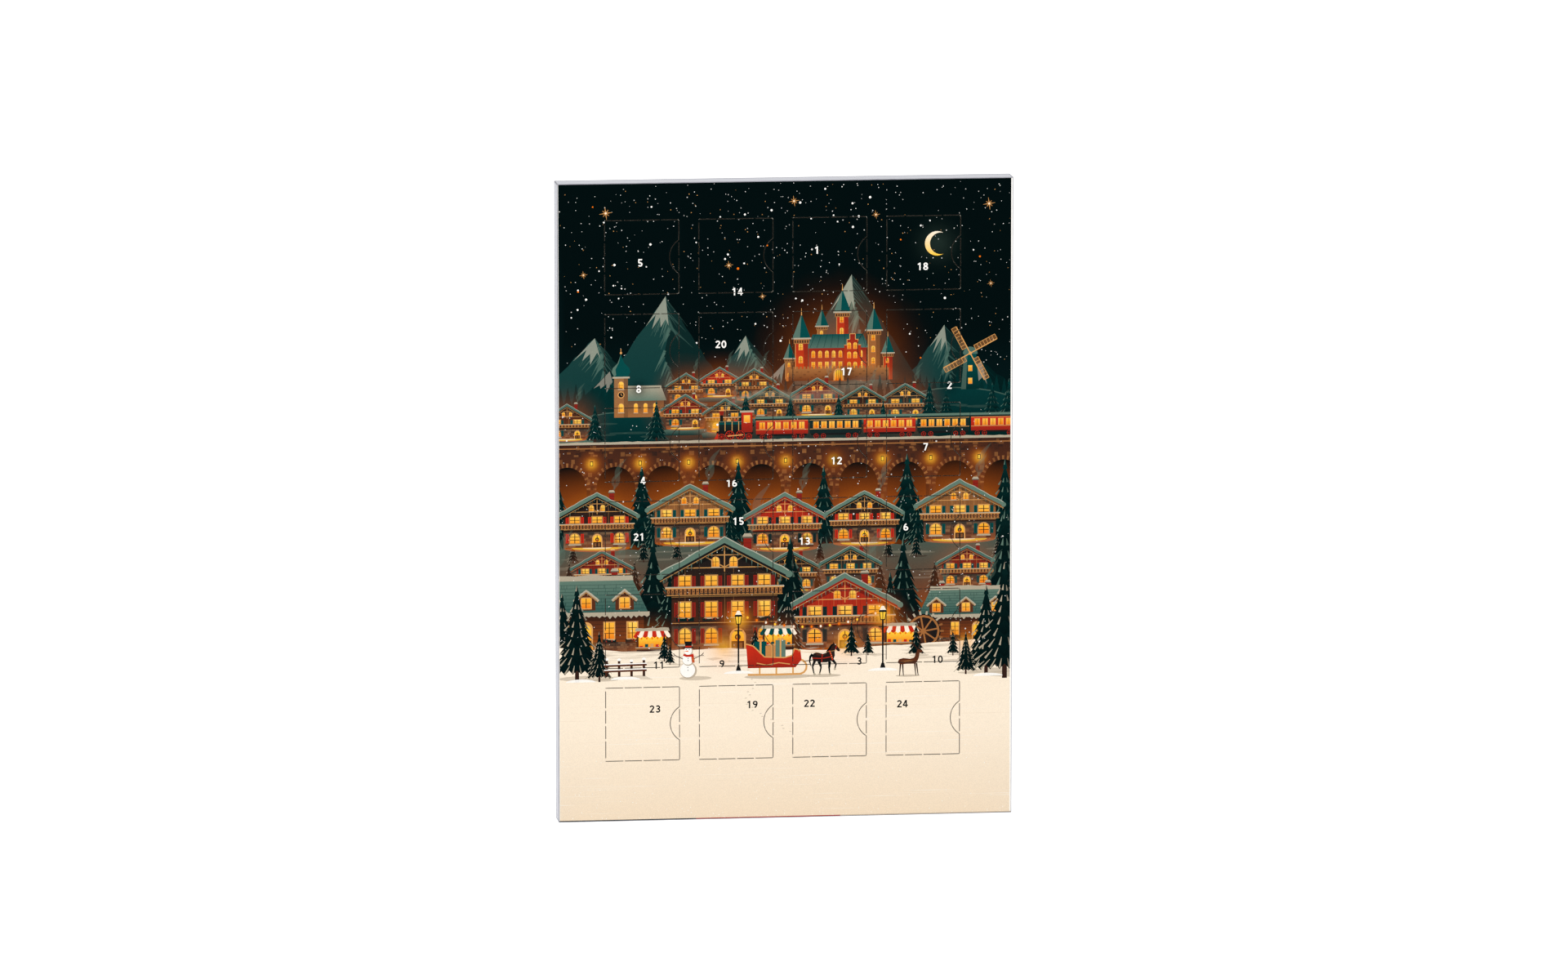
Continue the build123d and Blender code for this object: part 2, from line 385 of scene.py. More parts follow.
def sparkle(art):
    """Star with four long and four short needle rays."""
    art.glow("tan", 0, 0, 0.8, 0.5)
    for turn in range(8):
        tip = polar(turn * 45 + 8, 0.66 if turn % 2 else 1.0)
        art.paint("gold", strip((0, 0), tip, 0.15, 0.03))
    art.dot("snow", 0, 0, 0.15, sides=8)


def crescent(art):
    """Thin moon with its light in the haze."""
    art.glow("sage", 0, 0, 3.0, 0.14)
    outer = ellipse(0, 0, 1, 1.0, 24, 60, 300)
    inner = ellipse(0.3, 0, 0.889, 1.0, 22, 77, 283)
    art.paint("amber", outer + inner[::-1], fade=("snow", -1, 1))


def peak(art, u, v, left, right, base, body, lit):
    """Mountain with a snow cap, moonlight on its left side and its right side in the dark."""
    tall = v - base
    west, east = art.broken([(left, base), (u, v)], 1.0), art.broken([(u, v), (right, base)], 1.0)
    art.paint(body, west + east, fade=(art.mix(body, lit, 0.14), base, v))
    crest, drift = [(u, v)], u
    for i in range(1, 10):
        drift += art.vary(-2.2, 3.4)
        crest.append((drift, v - tall * i / 9))
    art.paint("night", crest + east[::-1], cover=0.62)
    lean = (u - left) / tall
    for i in range(60):
        share = art.vary(0, 1) ** 1.2 * 0.8
        step = share * 9
        start, end = crest[int(step)], crest[int(step) + 1]
        top = mix(start, end, step % 1)
        fall = tall * art.vary(0.06, 0.3) * (1.02 - share)
        slant = art.vary(0.3, 0.95)
        wide = min(0.2 + share * 7, 1.9 * (1 - share) + 0.3)
        if i % 3 == 0:
            foot = (top[0] + fall * slant, top[1] - fall * 0.8)
            art.paint(art.mix(body, lit, 0.55), strip(top, foot, wide * 0.6, 0.1), cover=0.6)
        else:
            foot = (top[0] - fall * lean * slant, top[1] - fall)
            art.paint(lit if i % 3 == 1 else art.mix(body, lit, 0.6), strip(top, foot, wide, 0.15),
                      cover=art.vary(0.5, 0.95))
    cap = [(u, v)]
    for i in range(7):
        down = tall * (0.24 if i % 2 == 0 else 0.15) * art.vary(0.8, 1.2)
        cap.append((u - down * lean * (1 - i / 6) * 0.96 + (crest[2][0] - u) * i / 9, v - down))
    art.paint(art.mix(lit, "snow", 0.25), cap, cover=0.85)


def mountains(art):
    """Two ranges, the nearer one darker."""
    for u, v, left, right in (
        (101, 262, 68, 138), (20, 262, -30, 62), (208, 266, 170, 262), (58, 284, 8, 104),
    ):
        peak(art, u, v, left, right, 212, "haze", "frost")
    peak(art, 158, 294, 108, 210, 212, "haze", "sage")
    for u, v, left, right in ((28, 244, -16, 84), (122, 247, 74, 176), (228, 246, 172, 284)):
        peak(art, u, v, left, right, 200, "gloom", "haze")


def tree_line(art, tint, left, right, level, slope, size):
    """Row of distant firs as one saw-toothed shape."""
    outline = [(left, level - 30)]
    u = left
    while u < right:
        base = level + slope * (u - left)
        step = size * art.vary(0.3, 0.46)
        tall = size * art.vary(0.65, 1.15)
        for across, up in ((0.0, 0.0), (0.26, 0.36), (0.2, 0.38), (0.38, 0.68), (0.34, 0.7), (0.5, 1.0),
                           (0.66, 0.7), (0.62, 0.68), (0.8, 0.38), (0.74, 0.36)):
            outline.append((u + step * across, base + tall * up))
        u += step
    art.paint(tint, [*outline, (u, level + slope * (u - left)), (u, level - 30)])


def fir(art, needle, load, tiers=7):
    """Fir with hanging boughs and snow lying on their tips."""
    art.box("bark", -0.022, -0.04, 0.044, 0.16)
    for i in range(tiers):
        share = i / tiers
        low, half = 0.06 + 0.8 * share, 0.27 * (1 - share) ** 0.9 + 0.025
        top = min(low + 0.27 * (1 - 0.4 * share), 1.0)
        tips = max(3, (7 if art.size > 24 else 5) - i)
        edge, snow = [], []
        for k in range(tips + 1):
            place = 1 - 2 * k / tips
            droop = 0.03 * abs(place) ** 1.5
            tip = (half * place + art.vary(-0.004, 0.004), low - 0.012 - droop + art.vary(-0.006, 0.006))
            edge.append(tip)
            if k < tips:
                edge.append((half * (place - 1 / tips), low + 0.032 - droop))
            if place and art.chance(0.85):
                snow.append((tip, place))
        art.paint(needle, [(-half * 0.1, top), (half * 0.1, top), *edge], fade=("night", top, low - 0.05))
        for (tip_u, tip_v), place in snow:
            root = (tip_u * 0.62, tip_v + (top - low) * 0.36)
            shine = 0.95 if place < 0 else 0.5
            art.paint(load, strip(root, (tip_u, tip_v + 0.012), 0.004, 0.019), cover=shine)
    art.paint(needle, [(-0.03, 0.9), (0.03, 0.9), (0.0, 1.02)])
    art.paint(load, [(-0.016, 0.95), (-0.002, 0.95), (0.0, 1.02)], cover=0.9)


# Buildings


def window(art, u, v, width, height, panes=(2, 3), arched=False, warm=0.5, trim="gold", sill=True):
    """Lit window with its frame, glazing bars and snow on the sill."""
    border = width * 0.11
    shape = arch if arched else rect
    art.paint(trim, shape(u - border, v - border, width + 2 * border, height + 2 * border))
    low = art.mix("ember", "amber", warm * 0.5)
    high = art.mix(art.mix("ember", "amber", 0.65 + warm * 0.35), "snow", warm * 0.1)
    art.paint(low, shape(u, v, width, height), fade=(high, v, v + height * 0.9))
    across, up = panes
    for i in range(1, across):
        art.box("charcoal", u + width * (i / across - 0.04), v, width * 0.08, height)
    for i in range(1, up):
        art.box("charcoal", u, v + height * i / up - width * 0.03, width, width * 0.06)
    if warm > 0.7:
        art.paint("rust", [(u, v), (u + width * 0.3, v), (u + width * 0.12, v + height), (u, v + height)],
                  cover=0.5)
    if sill:
        art.box("evening", u - border * 1.7, v - border * 2.2, width + border * 3.4, border * 1.2)


def stonework(art, u, v, width, height):
    """Foot of field stones in the light from the doors."""
    art.box(art.mix("rock", "ember", 0.22), u, v, width, height, fade=("rock", v, v + height))
    course = height / 5
    for row in range(5):
        place = u + art.vary(0, course)
        while place < u + width - course * 2:
            length = course * art.vary(0.9, 2.1)
            tint = "stone_lit" if art.chance(0.5) else "charcoal"
            stone = rect(place, v + row * course + course * 0.14, length, course * 0.72)
            art.paint(tint, stone, cover=art.vary(0.2, 0.6))
            place += length + course * 0.25


def doorway(art, u, v, width, height):
    """Arched doorway with light behind its panes, and a wreath."""
    art.paint("gold", arch(u - width * 0.14, v, width * 1.28, height * 1.12))
    art.paint("ember", arch(u, v, width, height), fade=("amber", v, v + height))
    art.box("bark", u, v, width, height * 0.45)
    art.box("bark", u + width * 0.46, v, width * 0.08, height)
    for side in (0.14, 0.6):
        art.box("larch", u + width * side, v + height * 0.08, width * 0.26, height * 0.28, cover=0.7)
    middle = (u + width / 2, v + height * 0.66)
    art.paint("pine", ellipse(*middle, width * 0.24), ellipse(*middle, width * 0.12, sides=8))
    art.dot("brick", u + width / 2, v + height * 0.56, width * 0.09, sides=6)


def chimney(art, u, v, width, height):
    """Chimney with a snow cap and a thin curl of smoke."""
    for i in range(2):
        path = []
        for k in range(11):
            share = k / 10
            sway = 0.5 * math.sin(7 * share + i * 1.3) + (2.6 - i) * share
            path.append((u + width * (0.5 + sway), v + height + width * (0.4 + (6.5 - 2 * i) * share)))
        art.paint("sage", ribbon(path, width * (1.0 - 0.4 * i), swell=True), cover=0.2)
    art.box("rust", u, v, width, height)
    for level in range(1, 4):
        art.box("charcoal", u, v + height * level / 4, width, art.hair * 0.7, cover=0.6)
    art.box("stone", u - width * 0.13, v + height, width * 1.26, width * 0.22)
    low, high = v + height + width * 0.2, v + height + width * 0.62
    art.paint("evening", [
        (u - width * 0.16, low), (u + width * 1.16, low), (u + width * 0.9, high), (u + width * 0.1, high),
    ])


def snow_roof(art, eave, rise, load, board, reach=0.11, depth=0.05):
    """Gable end's two slopes with bargeboard, lumpy snow and icicles."""
    drop = 2 * rise * reach
    tips = [(-reach, eave - drop), (0.5, eave + rise), (1 + reach, eave - drop)]
    shade, low = ([(u, v - depth * down) for u, v in tips] for down in (1.5, 0.75))
    art.paint("night", tips + shade[::-1], cover=0.5)
    art.paint(board, tips + low[::-1])
    art.line(art.mix(board, "gold", 0.6), [(u, v + depth * 0.2) for u, v in low], depth * 0.16)
    hanging = int(min(13, art.size / 3.4))
    for start, end in zip(low, low[1:]):
        for i in range(hanging):
            u, v = mix(start, end, (i + art.vary(0.2, 0.8)) / hanging)
            root = [(u - depth * 0.12, v + depth * 0.2), (u + depth * 0.12, v + depth * 0.2)]
            art.paint(load, [*root, (u, v - depth * art.vary(0.3, 1.1))], cover=0.8)
    top = []
    for start, end in zip(tips, tips[1:]):
        for i in range(9):
            u, v = mix(start, end, i / 9)
            top.append((u, v + depth * (1.15 + art.vary(-0.12, 0.16))))
    top.append((tips[2][0], tips[2][1] + depth * 1.1))
    art.paint(load, top + tips[::-1])
    art.line(art.mix(load, "snow", 0.4), top, depth * 0.2, cover=0.85)
    for u, v in (tips[0], tips[2]):
        art.dot(load, u, v + depth * 0.45, depth * 0.68, sides=10)


def chalet(art, tone, storeys=2, bays=3, accent="teal", load="sage", rise=0.27):
    """Alpine house seen at its gable end: stone foot, boarded storeys, balcony and low snowy roof."""
    hair, floor = art.hair, 0.25
    eave = floor * storeys
    chimney(art, 0.68, eave + rise * 0.45, 0.075, rise * 0.7)
    gable = [(0, 0), (1, 0), (1, eave), (0.5, eave + rise), (0, eave)]
    dark = art.mix(tone, "charcoal", 0.4)
    art.paint(art.mix(tone, "ember", 0.08), gable, fade=(dark, 0, eave + rise * 0.6))
    planks = int(min(24, art.size * 0.6))
    for i in range(1, planks):
        top = eave + rise * (1 - abs(2 * i / planks - 1))
        joint = art.mix(tone, "charcoal", 0.7) if art.chance(0.75) else art.mix(tone, "gold", 0.5)
        art.box(joint, i / planks, floor, hair * 0.8, top - floor, cover=0.6)
    stonework(art, 0, 0, 1, floor * 0.94)
    art.box("bark", -0.01, floor * 0.94, 1.02, floor * 0.08)
    wide = min(0.42 / bays, 0.17)
    for storey in range(storeys):
        low = floor * storey
        if storey:
            art.box("gold", 0, low + hair * 2, 1, hair, cover=0.8)
        for i in range(bays):
            middle = (i + 0.5) / bays
            if storey == 0 and i == bays // 2:
                doorway(art, middle - 0.06, 0, 0.12, floor * 0.74)
                continue
            window(art, middle - wide / 2, low + floor * 0.28, wide, floor * 0.56,
                   arched=storey == 0, warm=art.vary(0, 1), trim=art.mix(tone, "gold", 0.65))
            for side in (-1, 1):
                left = middle + side * (wide * 0.8) - wide * 0.17
                art.box(accent, left, low + floor * 0.28, wide * 0.34, floor * 0.56)
                left += wide * 0.13
                art.box("charcoal", left, low + floor * 0.32, wide * 0.08, floor * 0.48, cover=0.6)
            if storey:
                greenery(art, middle - wide * 0.8, low + floor * 0.13, wide * 1.6, floor * 0.13)
    truss = art.mix(tone, "gold", 0.75)
    art.box(truss, 0.5 - rise * 0.02, eave, rise * 0.04, rise * 0.9)
    for share in (0.12, 0.56):
        half = 0.5 * (1 - share)
        art.box(truss, 0.5 - half, eave + rise * share, half * 2, rise * 0.035)
    for side in (-1, 1):
        start, end = (0.5, eave + rise * 0.15), (0.5 + side * 0.2, eave + rise * 0.56)
        art.paint(truss, strip(start, end, rise * 0.035))
        left = 0.5 + side * 0.085 - 0.032
        window(art, left, eave + rise * 0.18, 0.064, rise * 0.32, (2, 2), True, art.vary(0, 1))
    if storeys > 1:
        balcony(art, -0.05, eave - floor * 0.9, 1.1, floor * 0.3)
    snow_roof(art, eave, rise, load, art.mix(tone, "charcoal", 0.5))


def balcony(art, u, v, width, height):
    """Carved balcony with shadow below it and snow on its rail."""
    art.box("night", u + width * 0.03, v - height * 0.5, width * 0.94, height * 0.5, cover=0.45)
    art.box("bark", u, v, width, height)
    count = int(width * min(26, art.size * 0.6))
    for i in range(count):
        left, pitch = u + width * (i + 0.18) / count, width / count
        art.box("tan", left, v + height * 0.12, pitch * 0.64, height * 0.72)
        if art.size > 30:
            art.dot("bark", left + pitch * 0.32, v + height * 0.5, pitch * 0.16, 1.4, 4)
    art.box("gold", u - width * 0.01, v + height * 0.86, width * 1.02, height * 0.12)
    art.box("evening", u - width * 0.01, v + height * 0.98, width * 1.02, height * 0.16)
    art.box("gold", u, v, width, height * 0.08, cover=0.8)


def greenery(art, u, v, width, height):
    """Box of fir twigs with red berries and a little snow."""
    art.box("bark", u, v - height * 0.4, width, height * 0.5)
    leaves = [(u, v), (u + width, v)]
    leaves += [(u + width * (1 - i / 7), v + height * art.vary(0.5, 1.1)) for i in range(8)]
    art.paint("pine", leaves)
    for _ in range(3):
        spot = (u + width * art.vary(0.1, 0.9), v + height * art.vary(0.1, 0.8))
        art.dot("brick", *spot, height * 0.18, sides=5)
    art.box("evening", u + width * 0.1, v + height * 0.78, width * 0.4, height * 0.16, cover=0.8)


def farmhouse(art, tone, bays=5, load="sage"):
    """Long low house seen at its broad side: deep roof, dormers and a log stack."""
    hair, eave, rise = art.hair, 0.34, 0.3
    for place in (0.2, 0.72):
        chimney(art, place, eave + rise * 0.7, 0.055, rise * 0.5)
    left, right, foot = -0.05, 1.05, eave - 0.02
    roof = [(left, foot), (right, foot), (0.9, eave + rise), (0.1, eave + rise)]
    art.paint(art.mix(load, "teal", 0.8), roof, fade=(load, foot, eave + rise * 0.9))
    for i in range(1, 10):
        share = i / 10
        inset = 0.15 * share - 0.05
        art.box("forest", inset, foot + rise * share, 1 - 2 * inset, hair, cover=0.5)
        for _ in range(10):
            spot = inset + (1 - 2 * inset) * art.vary(0, 1)
            art.box("forest", spot, foot + rise * (share - 0.09), hair, rise * 0.09, cover=0.45)
    crown = art.broken([(0.9, eave + rise + 0.035), (0.1, eave + rise + 0.035)], 0.006, 0.06)
    low = eave + rise - 0.012
    art.paint("evening", [(0.1 - 0.01, low), (0.9 + 0.01, low), *crown])
    for i in range(3):
        dormer = art.at((i + 0.5) / 3 - 0.08, eave + rise * 0.1, 0.16)
        dormer.paint(tone, [(0, 0), (1, 0), (1, 0.6), (0.5, 1), (0, 0.6)])
        window(dormer, 0.25, 0.12, 0.5, 0.54, (2, 2), False, art.vary(0, 1), sill=False)
        snow_roof(dormer, 0.62, 0.4, "evening", art.mix(tone, "gold", 0.4), 0.14, 0.1)
    art.box(art.mix(tone, "ember", 0.2), 0, 0, 1, eave, fade=(art.mix(tone, "charcoal", 0.55), 0, eave))
    for i in range(1, 8):
        art.box(art.mix(tone, "charcoal", 0.75), 0, 0.08 + 0.033 * i, 1, hair, cover=0.7)
    stonework(art, 0, 0, 1, 0.09)
    for i in range(bays):
        middle = (i + 0.5) / bays
        if i == bays // 2:
            doorway(art, middle - 0.045, 0, 0.09, 0.24)
            continue
        window(art, middle - 0.042, 0.12, 0.084, 0.14, warm=art.vary(0, 1))
        greenery(art, middle - 0.06, 0.09, 0.12, 0.03)
    art.box("night", -0.02, eave - 0.06, 1.04, 0.04, cover=0.45)
    edge = [(right, foot), (right, eave + 0.012), (left, eave + 0.012), (left, foot)]
    for i in range(1, 48):
        hang = art.vary(0.004, 0.034) if i % 2 else 0.0
        edge.append((left + 1.1 * i / 48, foot - hang))
    art.paint("evening", edge)
    for row in range(3):
        for i in range(9 - row):
            log = (0.02 + 0.018 * (i + row / 2), 0.012 + 0.017 * row)
            art.dot("bark", *log, 0.0095, sides=8)
            art.dot("tan", *log, 0.0068, sides=8)


def chapel(art):
    """Small hill chapel with an onion roof."""
    art.box("tan", 0.1, 0, 0.52, 0.26, fade=("rock", 0, 0.34))
    art.paint("sage", [(0.08, 0.24), (0.66, 0.24), (0.58, 0.46), (0.1, 0.46)], fade=("evening", 0.24, 0.5))
    for i in range(3):
        window(art, 0.19 + 0.14 * i, 0.07, 0.05, 0.13, (1, 2), True, 0.5)
    art.box("tan", -0.1, 0, 0.2, 0.58, fade=("stone_lit", 0, 0.7))
    art.box("charcoal", 0.04, 0, 0.06, 0.58, cover=0.4)
    for level, tall in ((0.08, 0.12), (0.42, 0.1)):
        window(art, -0.035, level, 0.07, tall, (1, 2), True, 0.8)
    art.dot("gold", 0, 0.33, 0.05)
    art.dot("charcoal", 0, 0.33, 0.038)
    art.line("gold", [(0, 0.355), (0, 0.33), (0.018, 0.32)], 0.008)
    art.box("evening", -0.125, 0.57, 0.25, 0.025)
    onion = [(-0.1, 0.595), (-0.135, 0.66), (-0.12, 0.72), (-0.05, 0.79), (-0.025, 0.85), (0, 0.93)]
    art.paint("teal", onion + [(-p, q) for p, q in onion[::-1]])
    art.paint("sage", [*onion, (-0.03, 0.8), (-0.08, 0.7), (-0.07, 0.62)], cover=0.85)
    art.dot("gold", 0, 0.94, 0.018, sides=8)
    art.line("gold", [(0, 0.93), (0, 1.0)], 0.009)


def tower(art, u, v, width, height, tone, rows):
    """Castle tower with lit windows, a corbelled gallery and a steep cone roof."""
    body = art.at(u, v, width)
    tall = height / width
    body.box(art.mix(tone, "ember", 0.3), -0.5, 0, 1, tall, fade=(art.mix(tone, "charcoal", 0.25), 0, tall))
    body.box("charcoal", 0.18, 0, 0.32, tall, cover=0.4)
    body.box("gold", -0.5, 0, 0.07, tall, cover=0.6)
    for row in range(rows):
        level = tall * (row + 0.4) / rows
        window(body, -0.2, level, 0.28, 0.5, (2, 3), True, 0.3 * (row % 3), sill=False)
    body.box("tan", -0.6, tall - 0.14, 1.2, 0.42)
    for i in range(6):
        body.box("charcoal", -0.52 + 0.19 * i, tall - 0.06, 0.09, 0.2)
    low, high = tall + 0.26, tall + 0.26 + 1.9
    body.paint("teal", [(-0.72, low), (0.72, low), (0, high)])
    body.paint("sage", [(-0.72, low), (-0.12, low), (0, high)], cover=0.85)
    body.box("evening", -0.75, low - 0.05, 1.5, 0.12)
    body.paint("gold", strip((0, high - 0.1), (0, high + 0.45), 0.08, 0.02))


def castle(art):
    """Castle on its rock: a gabled hall between round towers."""
    art.glow("ember", 0, 0.15, 1.1, 0.5)
    rock = art.broken([(-0.78, -0.4), (-0.5, 0.0), (0.52, 0.0), (0.8, -0.42)], 0.016, 0.06)
    art.paint("gloom", rock, fade=(art.mix("timber", "sage", 0.3), -0.4, 0.02))
    for _ in range(26):
        start = (art.vary(-0.5, 0.5), art.vary(-0.22, -0.02))
        end = (start[0] + art.vary(-0.08, 0.08), start[1] - 0.14)
        art.paint("night", strip(start, end, 0.016, 0.003), cover=0.5)
    tower(art, 0.02, 0.2, 0.13, 0.5, "brick", 4)
    tower(art, -0.2, 0.2, 0.1, 0.36, "tan", 3)
    art.box(art.mix("brick", "ochre", 0.3), -0.34, 0.08, 0.62, 0.28, fade=("rust", 0.08, 0.36))
    art.paint("sage", [(-0.37, 0.35), (0.31, 0.35), (0.24, 0.5), (-0.3, 0.5)], fade=("teal", 0.3, 0.5))
    for i in range(9):
        art.paint("forest", strip((-0.33 + 0.075 * i, 0.355), (-0.27 + 0.063 * i, 0.5), 0.006), cover=0.6)
    for row in (0.13, 0.25):
        for i in range(8):
            window(art, -0.31 + 0.073 * i, row, 0.034, 0.07, (2, 2), row > 0.2, 0.25 * (i % 4), sill=False)
    gable = [
        (0.04, 0.08), (0.22, 0.08), (0.22, 0.38), (0.19, 0.38), (0.19, 0.44), (0.16, 0.44), (0.16, 0.5),
        (0.1, 0.5), (0.1, 0.44), (0.07, 0.44), (0.07, 0.38), (0.04, 0.38),
    ]
    art.paint(art.mix("brick", "ember", 0.2), gable, fade=("rust", 0.1, 0.5))
    art.line("gold", gable[2:], 0.007)
    for row in (0.13, 0.24, 0.34):
        for i in range(2):
            window(art, 0.075 + 0.065 * i, row, 0.036, 0.065, (2, 2), True, 0.3 * i, sill=False)
    for place, wide, high, tone, rows in (
        (-0.42, 0.14, 0.42, "brick", 3), (0.36, 0.13, 0.5, "tan", 4), (0.51, 0.1, 0.26, "brick", 2),
        (-0.55, 0.09, 0.22, "tan", 2),
    ):
        tower(art, place, 0, wide, high, tone, rows)
    art.box("timber", -0.56, 0, 1.08, 0.13, fade=("tan", 0, 0.12))
    for i in range(27):
        art.box("tan", -0.56 + 0.04 * i, 0.13, 0.024, 0.024)
        art.box("charcoal", -0.56 + 0.04 * i, 0.03 + 0.03 * (i % 3), 0.026, 0.014, cover=0.4)
    art.paint("gold", arch(-0.075, 0, 0.11, 0.13))
    art.paint("ember", arch(-0.06, 0, 0.08, 0.11), fade=("amber", 0, 0.1))
    for i in range(3):
        art.box("charcoal", -0.044 + 0.022 * i, 0, 0.004, 0.11)


def windmill(art):
    """Tapered mill with four latticed sails."""
    art.paint("gloom", [(-0.26, 0), (0.26, 0), (0.17, 1), (-0.17, 1)], fade=("teal", 0, 1))
    art.paint("sage", [(-0.26, 0), (-0.12, 0), (-0.08, 1), (-0.17, 1)], cover=0.45)
    art.paint("frost", ellipse(0, 1, 0.21, 1.0, 10, 0, 180))
    for level in (0.16, 0.52):
        window(art, -0.05, level, 0.1, 0.15, (1, 2), sill=False)
    for turn in (28, 118, 208, 298):
        du, dv = polar(turn)

        def sail(out, over):
            return du * out - dv * over, 1.02 + dv * out + du * over

        art.paint("gold", strip(sail(0, 0), sail(0.86, 0), 0.03))
        art.paint("ochre", strip(sail(0.2, 0.075), sail(0.86, 0.075), 0.15), cover=0.25)
        for rung in range(2, 10):
            art.paint("gold", strip(sail(0.096 * rung, 0), sail(0.096 * rung, 0.15), 0.016), cover=0.8)
        art.paint("gold", strip(sail(0.19, 0.15), sail(0.86, 0.15), 0.016), cover=0.8)
    art.dot("gold", 0, 1.02, 0.05, sides=8)


# Railway


def viaduct(art, left, right, deck, foot, spans):
    """Railway bridge on tall arches, lit from below by the village."""
    pitch = (right - left) / spans
    pier, spring = pitch * 0.2, foot + (deck - foot) * 0.48
    bays = [(left + pitch * i + pier / 2, left + pitch * (i + 1) - pier / 2) for i in range(spans)]
    outline = [(left, deck), (right, deck), (right, foot)]
    for far, near in bays[::-1]:
        head = ellipse((near + far) / 2, spring, (near - far) / 2, 1.15, 12, 0, 180)
        outline += [(near, foot), *head, (far, foot)]
    warm = art.mix("timber", "ember", 0.08)
    art.paint(warm, [*outline, (left, foot)][::-1], fade=(art.mix("timber", "charcoal", 0.6), foot, deck))
    for far, near in bays:
        middle, half = (near + far) / 2, (near - far) / 2
        for k in range(15):
            du, dv = polar(180 * k / 14)
            start, end = ((middle + du * out, spring + dv * 1.15 * out) for out in (half, half + 1.9))
            art.paint("tan", strip(start, end, 0.95, 1.25), cover=art.vary(0.35, 0.85))
        art.box("night", near, foot, pier * 0.35, spring - foot, cover=0.45)
    for level in range(3, 12):
        for i in range(spans * 3 + 1):
            if level < 9 and i % 3:
                continue
            tint = "tan" if art.chance(0.5) else "charcoal"
            place = left + pitch * i / 3 + art.vary(-0.45, 0.1) * pier
            block = rect(place, foot + 4 + level * 3.6, pier * art.vary(0.3, 0.6), 2.3)
            art.paint(tint, block, cover=art.vary(0.2, 0.55))
    for _ in range(110):
        tint = "tan" if art.chance(0.5) else "charcoal"
        spot = (art.vary(left, right), deck - 2.4 - 1.5 * art.rng.randrange(1, 4))
        art.box(tint, *spot, art.vary(1.6, 3.2), 1.1, cover=art.vary(0.2, 0.5))
    for i in range(spans * 3):
        art.box("charcoal", left + pitch * i / 3, deck - 2.2, 0.5, 1.6, cover=0.7)
    for i in range(spans + 1):
        lamplight(art, left + pitch * i, deck - 11, 7.5, 0.75)
        art.box("charcoal", left + pitch * i - 0.8, deck - 12, 1.6, 2.6)
        art.box("amber", left + pitch * i - 0.5, deck - 11.7, 1.0, 1.9)
    art.box("tan", left, deck - 2.8, right - left, 0.6)
    crown = art.broken([(left, deck + 0.9), (right, deck + 0.9)], 0.22, 3)
    art.paint("evening", [*crown, (right, deck - 0.5), (left, deck - 0.5)])


def wheel(art, u, v, radius, spokes=4, tint="brick"):
    """Spoked wheel."""
    art.dot("charcoal", u, v, radius, sides=20)
    art.paint(tint, ellipse(u, v, radius * 0.92, sides=20), ellipse(u, v, radius * 0.8, sides=16))
    art.dot(tint, u, v, radius * 0.16, sides=8)
    for turn in range(spokes):
        du, dv = polar(turn * 180 / spokes + 10, radius * 0.82)
        art.paint(tint, strip((u - du, v - dv), (u + du, v + dv), radius * 0.09))


def engine(art):
    """Steam engine that runs to the left, with its cab at the right."""
    lamplight(art, 0.06, 0.4, 0.5, 0.6)
    art.box("charcoal", 0.06, 0.15, 0.94, 0.08)
    art.box("charcoal", 0.1, 0.23, 0.62, 0.25, fade=("slate", 0.23, 0.48))
    art.box("teal", 0.1, 0.4, 0.62, 0.04)
    art.box("sage", 0.1, 0.46, 0.62, 0.02, cover=0.8)
    for share in (0.1, 0.27, 0.45, 0.62):
        art.box("gold", share, 0.23, 0.018, 0.25)
    art.box("charcoal", 0.15, 0.48, 0.08, 0.2)
    art.paint("rust", [(0.12, 0.76), (0.15, 0.64), (0.23, 0.64), (0.26, 0.76)])
    art.box("gold", 0.12, 0.75, 0.14, 0.025)
    art.paint("gold", ellipse(0.38, 0.48, 0.055, 1.2, 10, 0, 180))
    art.paint("brick", ellipse(0.55, 0.48, 0.045, 1.0, 10, 0, 180))
    art.box("rust", 0.7, 0.19, 0.28, 0.52, fade=("brick", 0.19, 0.7))
    window(art, 0.77, 0.45, 0.14, 0.17, (1, 1), sill=False)
    art.box("evening", 0.66, 0.7, 0.36, 0.05)
    art.paint("brick", [(0.0, 0.03), (0.1, 0.03), (0.1, 0.2)])
    for share, radius in ((0.19, 0.085), (0.4, 0.125), (0.67, 0.125), (0.89, 0.085)):
        wheel(art, share, radius, radius)
    art.paint("gold", strip((0.34, 0.1), (0.74, 0.13), 0.026))
    art.dot("paper_white", 0.085, 0.4, 0.03, sides=8)


def carriage(art, long, tone):
    """Railway carriage with lit windows."""
    art.box("charcoal", 0.05, 0.14, long - 0.1, 0.12)
    art.box(art.mix(tone, "charcoal", 0.5), 0, 0.22, long, 0.6, fade=(tone, 0.2, 0.7))
    art.box("gold", 0, 0.4, long, 0.02)
    art.box("gold", 0, 0.79, long, 0.02)
    windows = 6
    pitch = (long - 0.2) / windows
    for i in range(windows):
        window(art, 0.1 + pitch * (i + 0.2), 0.46, pitch * 0.6, 0.26, (2, 1), warm=0.3 * (i % 3), sill=False)
    art.box("slate", -0.04, 0.82, long + 0.08, 0.07)
    art.box("sage", -0.03, 0.89, long + 0.06, 0.1)
    for share in (0.12, 0.26, 0.74, 0.88):
        wheel(art, long * share, 0.11, 0.11, 2)


